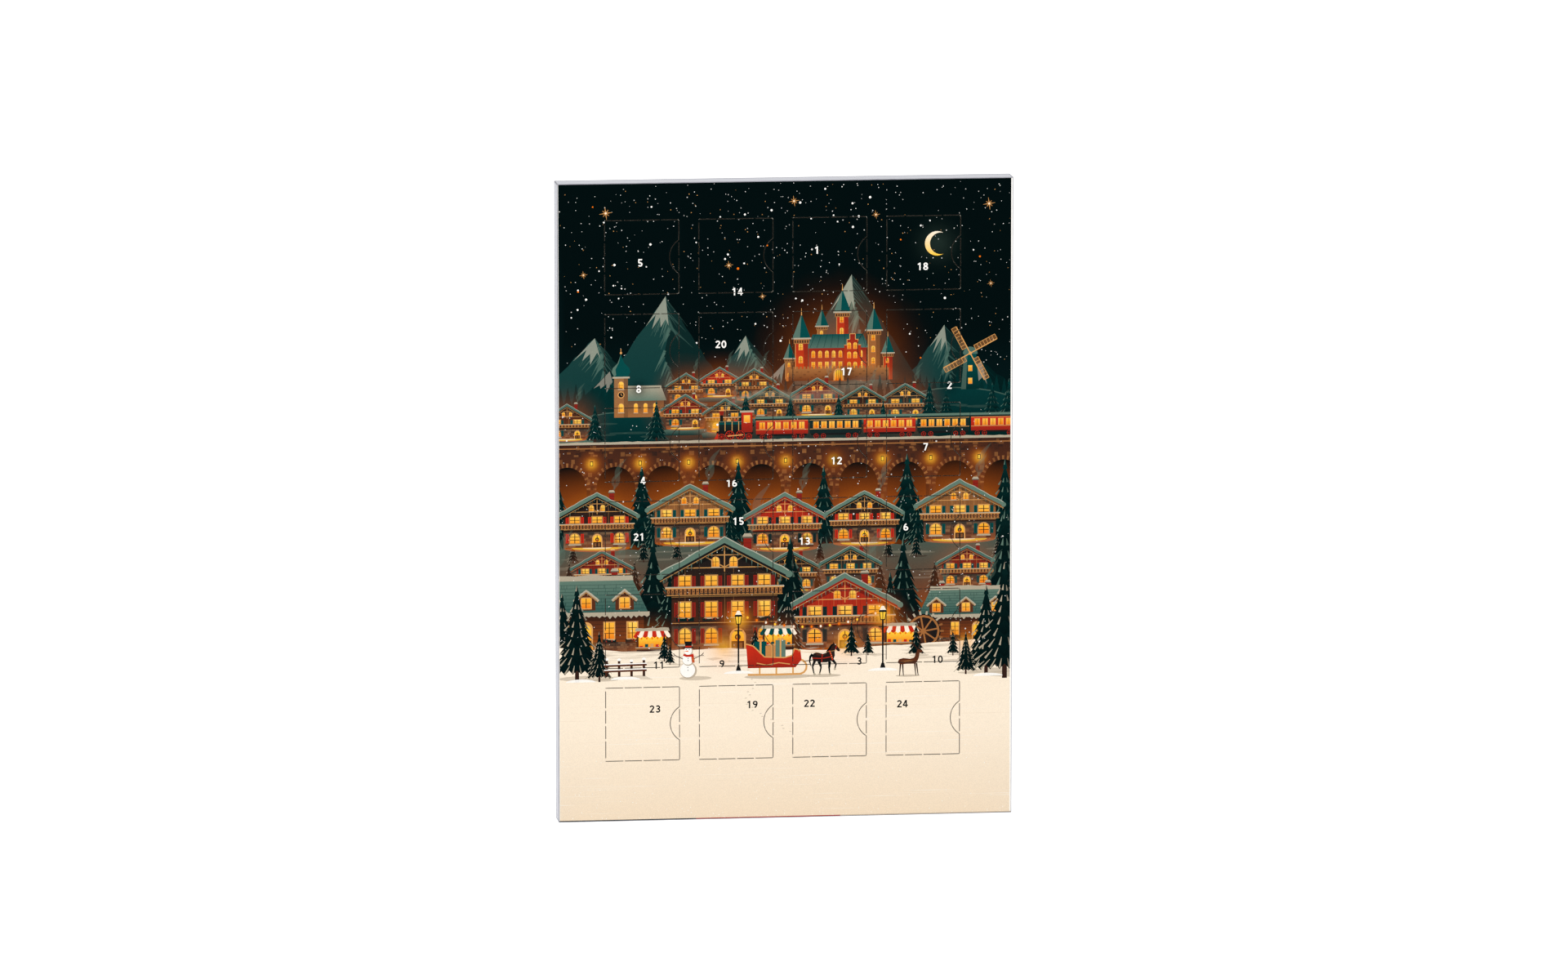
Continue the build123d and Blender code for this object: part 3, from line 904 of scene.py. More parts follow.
def steam(art, u, v):
    """Plume that trails back over the carriages."""
    for tint, cover, lift, grow in (("sage", 0.42, 0.0, 1.0), ("evening", 0.4, 0.9, 0.66)):
        for i in range(34):
            share = i / 33
            radius = (1.6 + 6.4 * share) * grow
            place = u + 92 * share ** 1.2 + art.vary(-0.8, 0.8)
            level = v + 15 * share ** 0.55 + 3.0 * math.sin(share * 8) + lift + art.vary(-0.7, 0.7)
            halo = (place, level, radius * 1.5)
            art.dot(tint, place, level, radius, 0.8, cover=cover * (1.05 - share), halo=halo)


# Open snow


def lantern(art):
    """Street lantern with its light in the falling snow."""
    lamplight(art, 0, 0.91, 0.4, 0.8)
    art.box("charcoal", -0.014, 0, 0.028, 0.84)
    art.paint("charcoal", [(-0.05, 0), (0.05, 0), (0.024, 0.1), (-0.024, 0.1)])
    art.line("charcoal", [(-0.07, 0.72), (0.07, 0.72)], 0.016)
    for tint, foot, head, low, high in (
        ("charcoal", 0.04, 0.064, 0.83, 0.98), ("amber", 0.029, 0.049, 0.845, 0.965),
    ):
        art.paint(tint, [(-foot, low), (foot, low), (head, high), (-head, high)])
    art.box("charcoal", -0.006, 0.83, 0.012, 0.14)
    art.paint("charcoal", [(-0.075, 0.975), (0.075, 0.975), (0, 1.06)])
    art.paint("snow", [(-0.055, 1.0), (0.055, 1.0), (0.02, 1.07), (-0.02, 1.07)])


def fence(art, left, right, level):
    """Rustic fence half sunk in snow."""
    count = int((right - left) / 6)
    art.paint("shadow", [(left, level - 0.4), (right + 5, level - 2.4), (right, level + 0.3)], cover=0.6)
    for i in range(count + 1):
        u = left + (right - left) * i / count
        top = level + art.vary(7.6, 9.2)
        art.paint("bark", [(u - 0.7, level - 0.3), (u + 0.7, level - 0.3), (u + 0.6, top), (u - 0.6, top)])
        art.box("timber", u - 0.7, level, 0.4, top - level)
        art.dot("paper_white", u, top, 1.05, 0.7, 10)
    for height in (2.6, 5.6):
        for tint, near, far, width in (("timber", 0, 0.4, 1.1), ("paper_white", 0.7, 1.1, 0.55)):
            rail = strip((left - 1.5, level + height + near), (right + 1.5, level + height + far), width)
            art.paint(tint, rail)


def snowman(art):
    """Snowman of three balls with a hat and a scarf."""
    art.dot("shadow", 0.22, 0, 0.52, 0.13, 16, cover=0.7)
    for level, radius in ((0.25, 0.27), (0.6, 0.2), (0.87, 0.14)):
        art.dot("shadow", 0, level, radius, sides=18)
        art.dot("paper_white", -0.1 * radius, level + 0.06 * radius, radius * 0.88, sides=18)
    for side in (-1, 1):
        art.line("bark", [(side * 0.17, 0.62), (side * 0.42, 0.74), (side * 0.48, 0.81)], 0.022)
        art.line("bark", [(side * 0.4, 0.73), (side * 0.49, 0.73)], 0.018)
    art.paint("brick", ribbon([(-0.16, 0.76), (-0.06, 0.72), (0.06, 0.72), (0.16, 0.76)], 0.07))
    art.paint("brick", [(0.08, 0.76), (0.16, 0.76), (0.2, 0.5), (0.11, 0.5)])
    for level in (0.52, 0.56, 0.6, 0.64):
        art.box("gold", 0.11, level, 0.08, 0.014)
    art.dot("charcoal", 0, 0.985, 0.17, 0.16, 14)
    art.paint("charcoal", [(-0.1, 0.98), (0.1, 0.98), (0.11, 1.18), (-0.11, 1.18)])
    art.box("brick", -0.1, 0.995, 0.2, 0.045)
    art.paint("ember", [(-0.01, 0.89), (-0.16, 0.86), (0, 0.85)])
    for spot in ((-0.07, 0.92), (0.03, 0.92), (-0.01, 0.64), (-0.01, 0.57), (-0.02, 0.35), (-0.02, 0.26)):
        art.dot("charcoal", *spot, 0.016, sides=6)


def deer(art):
    """Deer standing in the snow."""
    art.dot("shadow", 0.35, 0, 0.42, 0.09, 14, cover=0.8)
    for knee, foot in ((0.1, 0.07), (0.17, 0.2), (0.58, 0.62), (0.64, 0.7)):
        art.paint("bark", strip((knee, 0.42), (foot, 0), 0.055, 0.026))
    art.paint("timber", [
        (0.0, 0.45), (0.05, 0.56), (0.2, 0.6), (0.42, 0.57), (0.55, 0.6), (0.64, 0.74), (0.66, 0.86),
        (0.72, 0.9), (0.84, 0.84), (0.85, 0.8), (0.75, 0.77), (0.72, 0.6), (0.66, 0.46), (0.6, 0.4),
        (0.3, 0.4), (0.1, 0.38),
    ])
    art.paint("larch", [(0.1, 0.5), (0.4, 0.53), (0.55, 0.5), (0.3, 0.46)], cover=0.8)
    art.paint("snow", [(0.0, 0.5), (0.03, 0.56), (0.0, 0.6), (-0.03, 0.53)])
    art.paint("bark", [(0.66, 0.87), (0.6, 0.93), (0.69, 0.91)])
    for lean in (-0.09, 0.06):
        middle = (0.68 + lean, 1.03)
        art.line("bark", [(0.68, 0.89), middle, (0.66 + lean * 2.4, 1.22)], 0.024)
        for start in ((0.68 + lean * 0.5, 0.96), middle):
            art.line("bark", [start, (start[0] + lean * 1.6, start[1] + 0.09)], 0.018)


def horse(art):
    """Dark draught horse in red harness, stepping to the right."""
    art.dot("shadow", 0.4, 0, 0.6, 0.09, 16, cover=0.8)
    for path, tint in (
        ([(0.22, 0.5), (0.3, 0.3), (0.24, 0.03)], "night"),
        ([(0.6, 0.5), (0.58, 0.26), (0.6, 0.03)], "night"),
        ([(0.1, 0.58), (0.0, 0.32), (0.06, 0.03)], "charcoal"),
        ([(0.68, 0.56), (0.82, 0.4), (0.77, 0.2)], "charcoal"),
    ):
        for start, end, wide in ((path[0], path[1], 0.11), (path[1], path[2], 0.06)):
            art.paint(tint, strip(start, end, wide, wide * 0.6))
        art.dot("evening", path[2][0] + 0.01, path[2][1] + 0.02, 0.045, 0.9, 6)
    body = [
        (0.02, 0.52), (-0.02, 0.66), (0.03, 0.78), (0.14, 0.82), (0.36, 0.76), (0.54, 0.82), (0.64, 0.96),
        (0.7, 1.1), (0.73, 1.17), (0.77, 1.1), (0.86, 1.02), (0.96, 0.9), (0.95, 0.84), (0.88, 0.84),
        (0.8, 0.92), (0.77, 0.84), (0.78, 0.7), (0.72, 0.54), (0.5, 0.46), (0.3, 0.46), (0.16, 0.5),
    ]
    art.paint("charcoal", body, fade=(art.mix("bark", "charcoal", 0.2), 0.4, 1.0))
    art.paint("timber", [(0.1, 0.78), (0.34, 0.73), (0.52, 0.78), (0.36, 0.69), (0.16, 0.72)], cover=0.6)
    art.paint("night", ribbon([(0.0, 0.76), (-0.08, 0.66), (-0.1, 0.5), (-0.05, 0.34)], 0.1, 0.03))
    art.paint("night", ribbon([(0.5, 0.8), (0.58, 0.92), (0.66, 1.06), (0.74, 1.1)], 0.09, 0.04))
    art.paint("brick", ribbon([(0.58, 0.88), (0.66, 0.7), (0.7, 0.54)], 0.045))
    for path in (
        [(0.34, 0.76), (0.32, 0.47)], [(-0.02, 0.62), (0.34, 0.6), (0.67, 0.66)],
        [(0.84, 1.03), (0.8, 0.92)],
    ):
        art.line("brick", path, 0.024)
    art.line("bark", [(-0.34, 0.5), (0.02, 0.56), (0.5, 0.6)], 0.022)
    art.line("gold", [(-0.5, 0.86), (0.3, 0.8), (0.86, 0.88)], 0.012, cover=0.8)
    for i in range(3):
        art.dot("gold", 0.64 + 0.02 * i, 0.78 - 0.08 * i, 0.018, sides=6)


def sleigh(art):
    """Sleigh with a curled front and parcels."""
    art.dot("shadow", 0.55, 0, 0.62, 0.07, 16, cover=0.8)
    curl = [(0.0, 0.04), (0.5, 0.035), (0.9, 0.04), *ellipse(0.93, 0.17, 0.13, 1.0, 8, -80, 150)]
    art.paint("gold", ribbon(curl, 0.035))
    for share in (0.2, 0.5, 0.8):
        art.box("gold", share, 0.04, 0.03, 0.14)
    for left, wide, tall, tint in (
        (0.12, 0.22, 0.3, "teal"), (0.32, 0.26, 0.22, "ochre"), (0.5, 0.18, 0.32, "sage"),
    ):
        art.box(tint, left, 0.34, wide, tall)
        art.box("gold", left + wide * 0.42, 0.34, wide * 0.16, tall)
        for side in (-1, 1):
            art.dot("gold", left + wide * 0.5 + side * 0.03, 0.36 + tall, 0.028, 0.7, 8)
    body = [
        (0.0, 0.16), (0.86, 0.16), (0.97, 0.3), (0.95, 0.46), (0.84, 0.5), (0.8, 0.38), (0.66, 0.34),
        (0.3, 0.36), (0.1, 0.56), (-0.03, 0.6),
    ]
    art.paint("rust", body, fade=("brick", 0.1, 0.4))
    art.line("gold", body[3:], 0.022)
    art.paint("gold", ribbon([(0.16, 0.25), (0.34, 0.21), (0.56, 0.25), (0.76, 0.22)], 0.018), cover=0.9)


def festoon(art, start, end, sag, count):
    """String of small lamps that hangs between two points."""
    path = []
    for i in range(count + 1):
        share = i / count
        u, v = mix(start, end, share)
        path.append((u, v - 4 * sag * share * (1 - share)))
    art.line("charcoal", path, 0.3)
    for i, (u, v) in enumerate(path[1:-1]):
        art.glow("ember", u, v - 0.8, 2.4, 0.6)
        art.dot(("amber", "ember", "snow")[i % 3], u, v - 0.8, 0.6, 1.2, 8)


def snowfield(art):
    """Open snow in the foreground, with soft streaks, drifts and shadows under the houses."""
    edge = art.broken([(0, 95), (40, 92), (88, 93), (140, 91), (190, 93), (245, 96)], 0.35)
    art.paint("snow_shade", [(0, 0), (WIDE, 0), *edge[::-1]], fade=("snow", 0, 52))
    for _ in range(60):
        u, v = art.vary(-5, WIDE), art.vary(83, 93)
        length, thick = art.vary(8, 30), art.vary(0.4, 1.3)
        drift = [(u, v), (u + length * 0.4, v - thick), (u + length, v), (u + length * 0.6, v + thick * 0.6)]
        art.paint("shadow", drift, cover=art.vary(0.15, 0.5))
    for _ in range(170):
        u, v = art.vary(-20, WIDE - 10), art.vary(1, 86)
        length, thick = art.vary(14, 60), art.vary(0.15, 0.5)
        tint = "paper_white" if art.chance(0.5) else "snow_shade"
        middle = u + length * 0.5
        streak = [(u, v), (middle, v - thick / 2), (u + length, v), (middle, v + thick / 2)]
        art.paint(tint, streak, cover=art.vary(0.15, 0.42))
    for _ in range(300):
        u, v = art.vary(1, WIDE - 1), 62 * art.vary(0, 1) ** 1.7 + 1
        art.dot("paper_white", u, v, art.vary(0.12, 0.3), sides=5, cover=0.85)


def lamplight(art, u, v, reach, cover=0.6):
    """Warm light in the air, orange at its rim and yellow at its heart."""
    art.glow("ember", u, v, reach * 1.3, cover * 0.8)
    art.glow("amber", u, v, reach * 0.75, cover)


def stall(art, tone):
    """Wooden market hut with a striped awning and a lit counter."""
    lamplight(art, 0.5, 0.4, 0.95, 0.55)
    art.box("bark", 0, 0, 1, 0.66, fade=("timber", 0, 0.7))
    art.box("ember", 0.07, 0.3, 0.86, 0.36, fade=("amber", 0.26, 0.62))
    for i in range(5):
        art.dot("ember", 0.16 + 0.17 * i, 0.6, 0.03, 1.2, 8)
        art.box(("brick", "teal", "gold")[i % 3], 0.1 + 0.17 * i, 0.3, 0.1, art.vary(0.06, 0.13))
    art.box("tan", -0.03, 0.25, 1.06, 0.055)
    art.box("evening", -0.03, 0.3, 1.06, 0.02)
    for i in range(1, 9):
        art.box("charcoal", i / 9, 0, art.hair * 0.8, 0.24, cover=0.7)
    for i in range(8):
        left, right = -0.1 + 1.2 * i / 8, -0.1 + 1.2 * (i + 1) / 8
        top = [0.5 + (p - 0.5) * 0.8 for p in (right, left)]
        hem = [(left, 0.66), ((left + right) / 2, 0.61), (right, 0.66)]
        art.paint(tone if i % 2 == 0 else "snow", [*hem, (top[0], 0.84), (top[1], 0.84)])
    crown = art.broken([(1.02, 0.93), (-0.02, 0.93)], 0.02, 0.12)
    art.paint("evening", [(-0.05, 0.83), (1.05, 0.83), *crown])


def falling_snow(art):
    """Flakes in front of the houses and trees."""
    for _ in range(NEAR_FLAKES):
        u, v = art.vary(1, WIDE - 1), art.vary(92, 222)
        radius = art.vary(0.15, 0.3) if art.chance(0.9) else art.vary(0.36, 0.56)
        art.dot("paper_white", u, v, radius, sides=5, cover=art.vary(0.5, 1.0))


def digit_strokes(digit):
    """Strokes of a bold upright figure, one high and two thirds as wide."""
    bold, half = 0.19, 0.33

    def curve(v, start, stop, radius=0.235, squash=0.9):
        return ribbon(ellipse(half, v, radius, squash, 14, start, stop), bold)

    def ring(v, radius, squash):
        return [curve(v, 0, 180, radius, squash), curve(v, 180, 360, radius, squash)]

    strokes = {
        "0": ring(0.5, 0.24, 1.73),
        "1": [rect(half - 0.05, 0, bold, 1), strip((half + 0.06, 0.93), (half - 0.23, 0.75), bold * 0.85)],
        "2": [curve(0.7, -32, 165), strip((half + 0.2, 0.63), (half - 0.19, 0.1), bold * 0.95),
              rect(half - 0.3, 0, 0.62, bold * 0.92)],
        "3": [curve(0.725, -75, 155, 0.21), curve(0.285, -155, 80, 0.235, 0.85),
              rect(half - 0.12, 0.44, 0.2, bold * 0.85)],
        "4": [strip((half + 0.1, 0.99), (half - 0.27, 0.28), bold * 0.9),
              rect(half - 0.34, 0.2, 0.7, bold * 0.9), rect(half + 0.03, 0, bold, 1)],
        "5": [rect(half - 0.23, 0.84, 0.5, bold * 0.92), rect(half - 0.25, 0.47, bold * 0.92, 0.5),
              curve(0.3, -145, 130)],
        "6": [*ring(0.3, 0.235, 0.9), ribbon(ellipse(half + 0.2, 0.3, 0.435, 1.46, 12, 106, 180), bold)],
        "7": [rect(half - 0.3, 0.84, 0.62, bold * 0.92), strip((half + 0.22, 0.88), (half - 0.1, 0), bold)],
        "8": [*ring(0.745, 0.205, 0.83), *ring(0.275, 0.24, 0.79)],
    }
    strokes["9"] = [[(2 * half - p, 1 - q) for p, q in stroke] for stroke in strokes["6"]]
    return strokes[digit]


def numbers(art):
    """The plain numbers, one for each door, the white ones on a darkened ground."""
    size, advance = 4.0, 0.81
    for number, (column, row) in NUMBER_PIXELS.items():
        u, v = (column - FRONT_LEFT_PIXEL) * UNITS_PER_PIXEL, (FRONT_BOTTOM_PIXEL - row) * UNITS_PER_PIXEL
        tint, digits = "charcoal", str(number)
        if number not in DARK_NUMBERS:
            tint = "paper_white"
            art.glow("night", u, v, 8.5, 0.97)
        u -= size * (0.33 + advance * (len(digits) - 1) / 2)
        for i, digit in enumerate(digits):
            figure = art.at(u + size * advance * i, v - size / 2, size)
            for stroke in digit_strokes(digit):
                figure.paint(tint, stroke)


# The whole picture


def draw_picture(inks, sizes):
    """Winter night over a mountain valley: the whole printed front."""
    art = Picture(palette(inks), random.Random(SEED), [])
    art.box("dusk", 0, 0, WIDE, HIGH, fade=("night", 205, 262))
    stars(art)
    crescent(art.at(204, 310, 6.6))
    for u, v, size in ((26, 329, 3.5), (92, 300, 2.4), (127, 334, 2.9), (171, 326, 2.3), (232, 331, 3.3),
                       (110, 283, 2.0), (14, 296, 2.2), (233, 288, 2.0)):
        sparkle(art.at(u, v, size))
    mountains(art)
    castle(art.at(152, 237, 50))
    hillside(art)
    art.box(art.mix("bark", "ember", 0.32), 0, 146, WIDE, 56, fade=("night", 158, 192))
    viaduct(art, -8, WIDE + 8, 205, 158, 10)
    steam(art, 89, 220)
    engine(art.at(84, 205.8, 21))
    for i, tone in enumerate(("brick", "slate", "brick", "slate", "brick")):
        carriage(art.at(106.5 + 29 * i, 205.8, 12.5), 28 / 12.5, tone)
    valley(art)
    village(art)
    snowfield(art)
    foreground(art)
    falling_snow(art)
    numbers(art)
    for left, width in PLAIN_EDGES:
        art.box("paper_white", left, 0, width, HIGH)
    for tint, left, right in (
        ("dusk", 0, 74), (art.mix("brick", "dusk", 0.3), 74, 152), ("shadow", 152, WIDE),
    ):
        art.box(tint, left, 0, right - left, BOTTOM_LINE)
    # painted shade along each cut: a darker band round the kerf, over the board pressed down beside it
    for u, v, side in door_places().values():
        die = Die(sizes, side)
        for run in die.cuts():
            art.at(u, v, 1).paint("rock", ribbon(run, die.kerf + 2 * die.lip), cover=0.42)
    return art


def knoll(art, u, v, reach):
    """Snowy rise with soft patches of snow and a bright rim."""
    turns = [math.pi * k / 14 for k in range(15)]
    crown = [(u + reach * math.cos(turn), v - 22 + 22 * math.sin(turn)) for turn in turns]
    art.paint("night", [*crown, (u - reach, v - 60), (u + reach, v - 60)], fade=("haze", v - 42, v))
    for _ in range(9):
        spot = (u + reach * art.vary(-0.7, 0.7), v - art.vary(6, 20))
        art.dot("sage", *spot, art.vary(3, 8), 0.1, 10, cover=0.14)
    art.line(art.mix("haze", "sage", 0.6), crown[1:-1], 0.6, cover=0.7)


def snowbank(art, u, v, width):
    """Drift that a house stands on, lit from its windows."""
    ridge = [(u + width * 1.14, v - 1.4), (u + width / 2, v + 0.7), (u - width * 0.14, v - 1.4)]
    low = v - width * 0.2
    foot = [(u - width * 0.1, low), (u + width * 1.1, low)]
    art.paint("forest", [*foot, *art.broken(ridge, 0.3, 3)], fade=("sage", low, v + 0.5))
    doorstep(art, u, v, width)


def doorstep(art, u, v, width):
    """Light that falls on the snow before a house."""
    art.dot("ember", u + width / 2, v - 0.4, width * 0.5, 0.11, 18, cover=0.35)
    art.dot("amber", u + width / 2, v - 0.3, width * 0.38, 0.09, 16, cover=0.6)
    art.dot("snow", u + width / 2, v - 0.2, width * 0.22, 0.07, 14, cover=0.5)


def hillside(art):
    """Wooded rise above the bridge, with a chapel, a mill and rows of small houses."""
    tree_line(art, "gloom", -4, 249, 226, 0.01, 11)
    knoll(art, 36, 222, 44)
    knoll(art, 214, 232, 46)
    tree_line(art, "forest", 56, 196, 214, 0.02, 13)
    chapel(art.at(34, 219, 37))
    windmill(art.at(222, 231, 19))
    for u, v, width, tone in (
        (60, 227, 18, "timber"), (78, 230, 18, "brick"), (96, 228, 19, "timber"), (58, 213, 21, "rust"),
        (176, 216, 22, "slate"), (104, 218, 20, "charcoal"), (128, 219, 23, "rust"),
        (154, 217, 20, "charcoal"), (-6, 208, 22, "timber"), (80, 211, 20, "slate"),
    ):
        art.glow("ember", u + width / 2, v + width * 0.3, width * 1.2, 0.4)
        snowbank(art, u, v, width)
        chalet(art.at(u, v, width), tone, 2, 2, load="frost", rise=0.3)
    for u, v, height in (
        (20, 206, 20), (53, 206, 22), (101, 212, 20), (125, 212, 18), (151, 210, 20), (175, 208, 18),
        (200, 212, 24), (209, 214, 17), (234, 214, 20), (243, 210, 26),
    ):
        fir(art.at(u, v, height), "needle", "frost", 6)


def valley(art):
    """Snowy terrace below the bridge, with cabins among the firs."""
    art.box("night", 0, 80, WIDE, 72)
    cabins = (
        (3, 149, 36, "charcoal", "brick"), (52, 151, 38, "tan", "teal"), (104, 147, 36, "brick", "slate"),
        (148, 149, 34, "charcoal", "brick"), (197, 150, 39, "tan", "teal"),
    )
    for u, v, width, *_ in cabins:
        lamplight(art, u + width / 2, v + width * 0.25, width * 0.9, 0.7)
    for u, v, height in (
        (45, 146, 46), (97, 148, 46), (143, 146, 44), (188, 146, 50), (241, 146, 46), (0, 146, 40),
        (51, 146, 26), (92, 146, 24), (194, 146, 28),
    ):
        fir(art.at(u, v, height), "forest", "sage")
    rim = art.broken([
        (WIDE, 149), (216, 151), (188, 147), (165, 150), (122, 147), (92, 149), (70, 152), (44, 147),
        (20, 150), (0, 148),
    ], 0.35, 4)
    art.paint(art.mix("bark", "ember", 0.12), [(0, 112), (WIDE, 112), *rim],
              fade=(art.mix("frost", "forest", 0.35), 114, 158))
    for _ in range(30):
        spot = (art.vary(0, WIDE), art.vary(128, 147))
        art.dot("evening", *spot, art.vary(4, 12), 0.07, 12, cover=0.15)
    for u, v, height in (
        (8, 141, 11), (46, 141, 13), (64, 142, 12), (100, 140, 12), (141, 140, 11), (178, 141, 12),
        (193, 141, 13), (237, 140, 11), (6, 124, 17), (41, 122, 19), (139, 122, 18), (173, 121, 20),
        (203, 121, 17), (236, 122, 19),
    ):
        art.dot("bark", u + 1.5, v, height * 0.35, 0.12, 12, cover=0.5)
        fir(art.at(u, v, height), "pine", "evening", 5)
    for u, v, width, tone in (
        (10, 125, 27, "rust"), (112, 124, 26, "charcoal"), (144, 125, 27, "slate"), (207, 124, 27, "rust"),
    ):
        art.glow("ember", u + width / 2, v + width * 0.3, width, 0.5)
        snowbank(art, u, v, width)
        chalet(art.at(u, v, width), tone, 2, 3, load="frost")
    for u, v, width, tone, accent in cabins:
        doorstep(art, u, v, width)
        chalet(art.at(u, v, width), tone, 2, 3, accent)


def village(art):
    """Houses, market huts and tall firs along the edge of the open snow."""
    for u in range(0, 246, 35):
        art.glow(art.mix("timber", "ember", 0.7), u, 98, 42, 0.8)
    for u, v, height in (
        (51, 90, 62), (60, 90, 44), (125, 90, 62), (186, 90, 60), (179, 90, 42), (241, 90, 74),
    ):
        fir(art.at(u, v, height), "pine", "sage", 8)
    farmhouse(art.at(-16, 92, 62), "timber", 5)
    chalet(art.at(61, 92, 57), "charcoal", 3, 4, "rust")
    chalet(art.at(130, 92, 49), "brick", 2, 3, "slate")
    water_mill(art)
    for u, v, height in ((2, 88, 36), (124, 88, 34), (243, 88, 38)):
        fir(art.at(u, v, height), "pine", "evening")
    for u, tone in ((42, "brick"), (110, "teal"), (176, "brick")):
        stall(art.at(u, 89, 17), tone)


def water_mill(art):
    """Mill by its race, with an icy wheel."""
    farmhouse(art.at(196, 92, 48), "timber", 4, "sage")
    u, v = WIDE - 48, 100
    wheel(art, u, v, 9.5, 4, "tan")
    for turn in range(18):
        du, dv = polar(turn * 20)
        spot, tip = ((u + du * out, v + dv * out) for out in (9, 11))
        art.paint("evening" if dv > 0.4 else "larch", strip(spot, tip, 1.1))


def foreground(art):
    """What stands on the open snow."""
    for u, reach in ((15, 12), (89, 17), (155, 15), (220, 12)):
        lamplight(art, u, 93, reach, 0.5)
    festoon(art, (97, 112), (176, 113), 8, 16)
    for u, v, height in (
        (57, 87, 15), (60, 85, 11), (106, 88, 17), (158, 88, 18), (167, 88, 13), (193, 87, 18),
        (213, 87, 14), (10, 78, 50), (231, 78, 46), (241, 76, 60), (22, 77, 26), (220, 77, 22),
    ):
        art.dot("shadow", u + height * 0.1, v, height * 0.3, 0.1, 16, cover=0.7)
        fir(art.at(u, v, height), "pine", "evening", 8 if height > 20 else 5)
    fence(art, 26, 46, 79)
    snowman(art.at(70, 77, 17))
    lantern(art.at(97, 80, 31))
    lantern(art.at(175, 80, 32))
    sleigh(art.at(102, 77, 30))
    horse(art.at(137, 77, 15.5))
    deer(art.at(183, 76, 16))
    for i in range(24):
        u, v = 93 + 6 * math.sin(i * 0.33) + i * 1.1, 86 - i * 1.7
        art.dot("shadow", u + (0.9 if i % 2 else -0.9), v, 0.7, 0.42, 8, cover=0.55)
    for u, v in ((12, 76), (36, 77), (232, 75), (175, 79), (97, 79)):
        art.paint("paper_white", ellipse(u, v, 8, 0.2, 16, 0, 180), cover=0.9)


# Die line


def along(start, end, ties, reach, side):
    """Points from start to end along a level or upright edge, stepping outwards at each tie.

    ties are (middle, width) along the edge, reach is how far a tie stands out, and side is its
    outward direction.
    """
    du, dv = end[0] - start[0], end[1] - start[1]
    length = math.hypot(du, dv)
    du, dv = du / length, dv / length
    out = []
    for middle, width in sorted(ties):
        for step, lift in ((-width / 2, 0), (-width / 2, reach), (width / 2, reach), (width / 2, 0)):
            u, v = start[0] + du * (middle + step), start[1] + dv * (middle + step)
            out.append((u + side[0] * lift, v + side[1] * lift))
    return [start, *out, end]


def moved(outline, u, v):
    """An outline moved from the origin."""
    return [(p + u, q + v) for p, q in outline]


